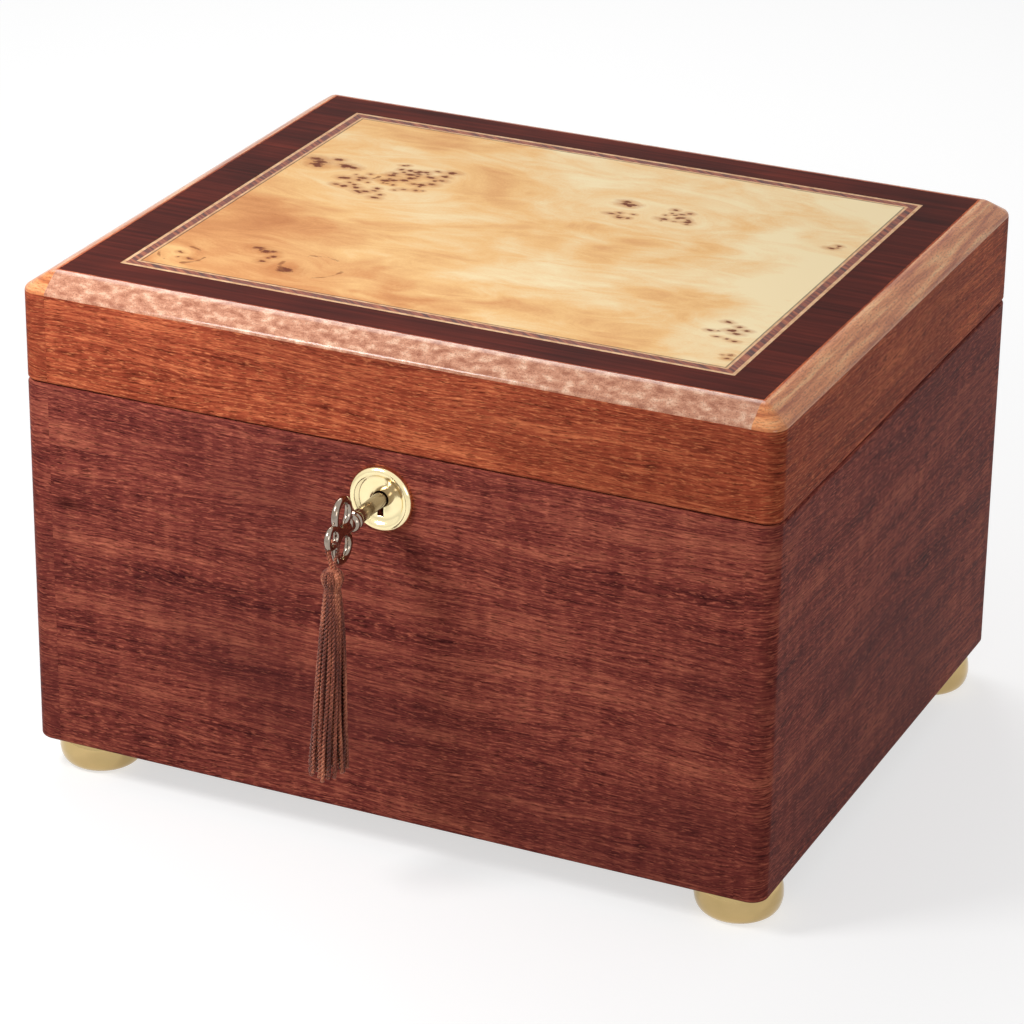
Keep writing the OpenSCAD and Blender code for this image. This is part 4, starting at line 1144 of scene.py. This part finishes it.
PLATE_OUTLINE = (  # in from the rim and out from the wall, in mm
    (0.0, 0.0), (0.0, 0.7), (0.12, 1.4), (0.42, 2.0), (0.95, 2.45), (1.6, 2.68), (2.2, 2.66),
    (2.8, 2.45), (3.3, 2.1), (3.7, 1.75), (4.3, 1.52), (5.2, 1.42), (6.4, 1.4),
)
COLLAR_OUTLINE = (  # radius, and distance from the collar's middle towards the lock, in mm
    (1.9, -3.4), (2.3, -2.6), (2.5, -1.6), (3.1, -1.2), (3.55, -0.6), (3.6, 0.1), (3.2, 0.7),
    (2.7, 1.0), (2.75, 1.5), (3.3, 1.9), (3.45, 2.6), (3.2, 3.3), (2.8, 3.8),
)
BOW_Y = HOLE_Y + 7.5 * MM
COLLAR_Y = BOW_Y + 7.5 * MM
TIP_Y = key_high.y


def keyhole_radius(a):
    """How far the keyhole reaches from the key's axis, at an angle."""
    hole, half_slot, slot_end = 3.2 * MM, 1.2 * MM, 6.8 * MM
    across, down = math.cos(a), -math.sin(a)
    if down <= 0:
        return hole
    to_side = half_slot / max(abs(across), 1e-6)
    return max(hole, min(to_side, slot_end / down))


def escutcheon(steps=180):
    """A turned brass plate: a rounded bright rim round a dished middle with the keyhole."""
    reach = FRONT_Y - plate_low.y
    rim = (plate_high.x - plate_low.x) / 2
    vertices = []
    for i in range(steps):
        a = 2 * math.pi * i / steps
        hole = keyhole_radius(a)
        line = [(max(rim - x * MM, hole + 0.25 * MM), y * MM) for x, y in PLATE_OUTLINE]
        line += [(hole + 0.12 * MM, 1.38 * MM), (hole, 1.28 * MM), (hole, 0.0)]
        for r, h in line:
            vertices.append((LOCK_X + r * math.cos(a), FRONT_Y - min(h, reach), KEY_Z + r * math.sin(a)))
    plate = new_piece("escutcheon_plate", vertices, skin(steps, len(vertices) // steps))
    with editing(plate.data) as work:
        bmesh.ops.dissolve_degenerate(work, dist=1e-7, edges=work.edges)
        bmesh.ops.recalc_face_normals(work, faces=work.faces)
    smooth(plate, 40)
    plate.data.materials.append(plate_brass)
    fix_on(plate, "polished_brass", "root", "escutcheon")


def ring_mesh(name, y, z, major, minor, steps=48, sides=14):
    """A round ring on the key's bow, in the plane of Y and Z."""
    vertices = []
    for i in range(steps):
        a = 2 * math.pi * i / steps
        for k in range(sides):
            b = 2 * math.pi * k / sides
            r = major + minor * math.cos(b)
            vertices.append((LOCK_X + minor * math.sin(b), y + r * math.cos(a), z + r * math.sin(a)))
    ring = new_piece(name, vertices, skin(steps, sides))
    clean(ring)
    return ring


def key_bow():
    """Three rings and a neck, cast in one."""
    lobes = [ring_mesh("bow_ring", BOW_Y, KEY_Z + s * 6.3 * MM, 5.2 * MM, 1.45 * MM) for s in (-1, 1)]
    lobes.append(ring_mesh("bow_eye", HOLE_Y, KEY_Z, 3.5 * MM, 1.25 * MM))
    neck = [(x * MM, y * MM) for x, y in ((0, 0), (1.3, 0.3), (1.5, 2), (2.2, 5.2), (2.2, 8), (0, 8))]
    lobes.append(lathe("bow_neck", neck, (LOCK_X, HOLE_Y + 3.4 * MM, KEY_Z), "Y", 24))
    bow = join("key_bow", lobes)
    fused = bow.modifiers.new("cast_in_one", "REMESH")
    fused.mode = "VOXEL"
    fused.voxel_size = 0.2 * MM
    softened = bow.modifiers.new("softened", "SMOOTH")
    softened.factor = 0.5
    softened.iterations = 5
    cast = plain_mesh(bow)
    bow.modifiers.clear()
    bow.data = cast
    cast.shade_smooth()
    return bow


def key_shank():
    """The turned collar and the hollow barrel."""
    barrel, bore, bevel = 2.75 * MM, 1.6 * MM, 0.4 * MM
    end = TIP_Y - 0.6 * MM
    bottom = TIP_Y - 9 * MM
    outline = [(0, COLLAR_Y - 3.4 * MM)] + [(r * MM, COLLAR_Y + y * MM) for r, y in COLLAR_OUTLINE]
    outline += [(barrel, COLLAR_Y + 4.4 * MM), (barrel, end - bevel), (barrel - bevel, end)]
    outline += [(bore, end), (bore, bottom), (0, bottom)]
    return lathe("key_shank", outline, (LOCK_X, 0, KEY_Z), "Y", 40)


def key_bit():
    """The flat bit that hangs from the barrel's tip."""
    xs = (LOCK_X - 0.9 * MM, LOCK_X + 0.9 * MM)
    ys = (TIP_Y - 4.6 * MM, TIP_Y - 0.7 * MM)
    zs = (KEY_Z - 6 * MM, KEY_Z - 1.8 * MM)
    faces = [(0, 1, 3, 2), (4, 6, 7, 5), (0, 4, 5, 1), (2, 3, 7, 6), (0, 2, 6, 4), (1, 5, 7, 3)]
    return new_piece("key_bit", [(x, y, z) for x in xs for y in ys for z in zs], faces)


def key():
    """A barrel key: three cast rings for a bow, a turned collar, the hollow barrel and its bit."""
    bow, shank, bit = key_bow(), key_shank(), key_bit()
    for piece in (bow, shank, bit):
        piece.data.materials.clear()
        piece.data.materials.append(dark_nickel)
    fix_on(join("box_key", [shank, bow, bit]), "key_metal", "key", "key")


def dress_all(rows):
    """Dresses solids from rows of node, finish and width of the eased edges in mm."""
    for node, metal_or_wood, ease in rows:
        dressed(node, metal_or_wood, ease * MM)


escutcheon()
key()
dressed("feet", foot_brass, sharp=40)
paint("foot_screws", steel)
dress_all((
    ("hinge_case_leaves", hinge_brass, 0.15), ("hinge_lid_leaves", hinge_brass, 0.15),
    ("hinge_pins", steel, 0.1), ("lock_case", hinge_brass, 0.2), ("lock_bolt", iron, 0.15),
    ("strike_plate", hinge_brass, 0.15),
))

# ---------------------------------------------------------------- the movement


def pin_tree():
    """Short steel pins on the cylinder, set at chosen beats of each track."""
    tree, given = geometry_tree("cylinder_pins", (
        ("Pins", "Int", 100), ("Pins on a Track", "Int", 50), ("First Track X", "Float", 0.0),
        ("Track Pitch", "Float", 0.0015), ("Axis Y", "Float", 0.0), ("Axis Z", "Float", 0.1),
        ("Cylinder Radius", "Float", 0.018), ("Pin Height", "Float", 0.001),
        ("Pin Radius", "Float", 0.0003), ("Beats", "Int", 180), ("Seed", "Int", 3),
        ("Material", "Material", None),
    ))
    points = tree.add("GeometryNodePoints", {"Count": given["Pins"]}).outputs[0]
    index = tree.add("GeometryNodeInputIndex").outputs[0]
    track = tree.math("FLOOR", tree.math("DIVIDE", index, given["Pins on a Track"]))
    x = tree.math("MULTIPLY_ADD", track, given["Track Pitch"], given["First Track X"])
    beat = tree.add("FunctionNodeRandomValue", {"Seed": given["Seed"]}, data_type="INT")
    beat.inputs["Min"].default_value = 8
    tree.tree.links.new(given["Beats"], beat.inputs["Max"])
    round_trip = tree.plus(given["Beats"], 12.0)  # the beats and the gap that no pin stands in
    angle = tree.math("DIVIDE", tree.times(beat.outputs["Value"], 2 * math.pi), round_trip)
    lift = tree.math("MULTIPLY_ADD", given["Pin Height"], 0.5, given["Cylinder Radius"])
    y = tree.plus(tree.times(tree.math("SINE", angle), lift), given["Axis Y"])
    z = tree.plus(tree.times(tree.math("COSINE", angle), lift), given["Axis Z"])
    place = tree.add("ShaderNodeCombineXYZ", {0: x, 1: y, 2: z}).outputs[0]
    set_out = tree.add("GeometryNodeSetPosition", {"Geometry": points, "Position": place})
    pin = tree.add("GeometryNodeMeshCylinder", {
        "Vertices": 5, "Radius": given["Pin Radius"], "Depth": given["Pin Height"],
    })
    tilt = tree.add("ShaderNodeCombineXYZ", {0: tree.times(angle, -1.0)}).outputs[0]
    turned = tree.add("FunctionNodeEulerToRotation", {0: tilt}).outputs[0]
    pins = tree.add("GeometryNodeInstanceOnPoints", {
        "Points": set_out.outputs[0], "Instance": pin.outputs["Mesh"], "Rotation": turned,
    })
    return end_tree(tree, pins.outputs[0], given["Material"])


def cylinder_pins(on_each=44):
    """The tune: the same number of pins on each note's track, at random beats."""
    pins = grow("tune_pins", pin_tree(), {
        "Pins": TRACKS * on_each, "Pins on a Track": on_each,
        "First Track X": comb_low.x + TRACK_PITCH / 2, "Track Pitch": TRACK_PITCH,
        "Axis Y": (cylinder_low.y + cylinder_high.y) / 2,
        "Axis Z": (cylinder_low.z + cylinder_high.z) / 2,
        "Cylinder Radius": (cylinder_high.z - cylinder_low.z) / 2,
        "Pin Height": 1.0 * MM, "Pin Radius": 0.24 * MM, "Beats": 170, "Seed": 4, "Material": steel,
    })
    fix_on(pins, "steel", "cylinder", "cylinder_pins")


def worm_thread(turns=8, each=20):
    """The fine screw on the fan's arbor, a ridge wound along the core."""
    middle_x = (fan_low.x + fan_high.x) / 2
    middle_y = (fan_low.y + fan_high.y) / 2
    wheel_low, wheel_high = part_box("governor_wheel_2")
    middle_z = (wheel_low.z + wheel_high.z) / 2
    core, ridge = 0.85 * MM, 1.3 * MM
    section = ((core, -0.45 * MM), (ridge, -0.12 * MM), (ridge, 0.12 * MM), (core, 0.45 * MM))
    pitch = 1.57 * MM
    vertices = []
    for k in range(turns * each + 1):
        a = 2 * math.pi * k / each
        z = middle_z + (k / each - turns / 2) * pitch
        out = Vector((math.cos(a), math.sin(a), 0))
        for r, dz in section:
            vertices.append(Vector((middle_x, middle_y, z + dz)) + r * out)
    faces = skin(turns * each + 1, len(section), ring_of_rows=False)
    last = len(vertices)
    faces += [(3, 2, 1, 0), (last - 4, last - 3, last - 2, last - 1)]
    thread = new_piece("worm_thread", vertices, faces)
    clean(thread)
    smooth(thread, 40)
    thread.data.materials.append(steel)
    fix_on(thread, "steel", "worm_fan")


dress_all((
    ("bedplate", bed_brass, 0.4), ("movement_screws", blued, 0.2), ("left_cock", bed_brass, 0.25),
    ("right_cock", bed_brass, 0.25), ("barrel_bracket", bed_brass, 0.25),
    ("governor_plate", bed_brass, 0.25), ("governor_cock", bed_brass, 0.25),
    ("comb_base", bed_brass, 0.3), ("comb", comb_steel, 0.05), ("cylinder", cylinder_brass, 0.2),
    ("cylinder_arbor", steel, 0.06), ("spring_barrel", barrel_brass, 0.12),
    ("great_wheel", wheel_brass, 0.05), ("governor_wheel_1", wheel_brass, 0.05),
    ("governor_wheel_2", wheel_brass, 0.05), ("worm_fan", steel, 0.05),
    ("winding_arbor", steel, 0.2), ("winding_lever", steel, 0.4),
))
dressed("winding_knob", knob_wood, sharp=50)
dress_all((("play_lever", steel, 0.3), ("lever_bush", bed_brass, 0.2)))
paint("mainspring", blued)
paint("glass_pane", glass)
cylinder_pins()
worm_thread()

# ---------------------------------------------------------------- floor, light and background

WHITE = (1, 1, 1, 1)
FLOOR_GREY = (0.5, 0.5, 0.5, 1)
FLOOR_GLOW = 0.62  # added where the floor is looked at or mirrored, so that it shows white
ROOM_LEVEL = 0.36  # how bright the room is to matt surfaces


def table_top(half=8):
    """A plain floor under the feet, white where it is looked at and matt for the shadows."""
    pale = bpy.data.materials.new("pale_floor")
    tree = empty_tree(pale)
    matt = tree.add("ShaderNodeBsdfDiffuse", {"Color": FLOOR_GREY})
    glow = tree.add("ShaderNodeEmission", {
        "Color": WHITE, "Strength": tree.times(tree.seen(), FLOOR_GLOW),
    })
    both = tree.add("ShaderNodeAddShader", {0: matt.outputs[0], 1: glow.outputs[0]})
    tree.add("ShaderNodeOutputMaterial", {"Surface": both.outputs[0]})
    corners = [(-half, -half, 0), (half, -half, 0), (half, half, 0), (-half, half, 0)]
    floor = new_piece("floor", corners, [(0, 1, 2, 3)])
    floor.data.materials.append(pale)


def softbox(name, place, target, size, watts):
    """A square lamp turned to its target."""
    data = bpy.data.lights.new(name, "AREA")
    data.shape = "SQUARE"
    data.size = size
    data.energy = watts
    lamp = placed(name, data)
    lamp.location = place
    lamp.visible_camera = False
    lamp.rotation_mode = "QUATERNION"
    lamp.rotation_quaternion = (Vector(target) - Vector(place)).to_track_quat("-Z", "Y")


def pale_room():
    """A world that is white where it is looked at or mirrored, and dimmer as a light."""
    world = bpy.data.worlds.new("pale_room")
    tree = empty_tree(world)
    light = tree.step(tree.seen(), 0.0, 1.0, ROOM_LEVEL, 1.0)
    room = tree.add("ShaderNodeBackground", {"Color": WHITE, "Strength": light})
    tree.add("ShaderNodeOutputWorld", {"Surface": room.outputs[0]})
    bpy.context.scene.world = world


table_top()
softbox("key_light", (-0.18, -0.38, 0.43), (-0.06, -0.12, 0.15), 0.15, 1.4)
softbox("back_light", (-0.52, 0.66, 1.10), (0.03, 0, 0.2), 0.75, 6.5)
softbox("right_fill", (0.9, -0.75, 0.4), (0.15, -0.1, 0.12), 0.4, 1.6)
pale_room()
bpy.context.scene.view_settings.view_transform = "Standard"
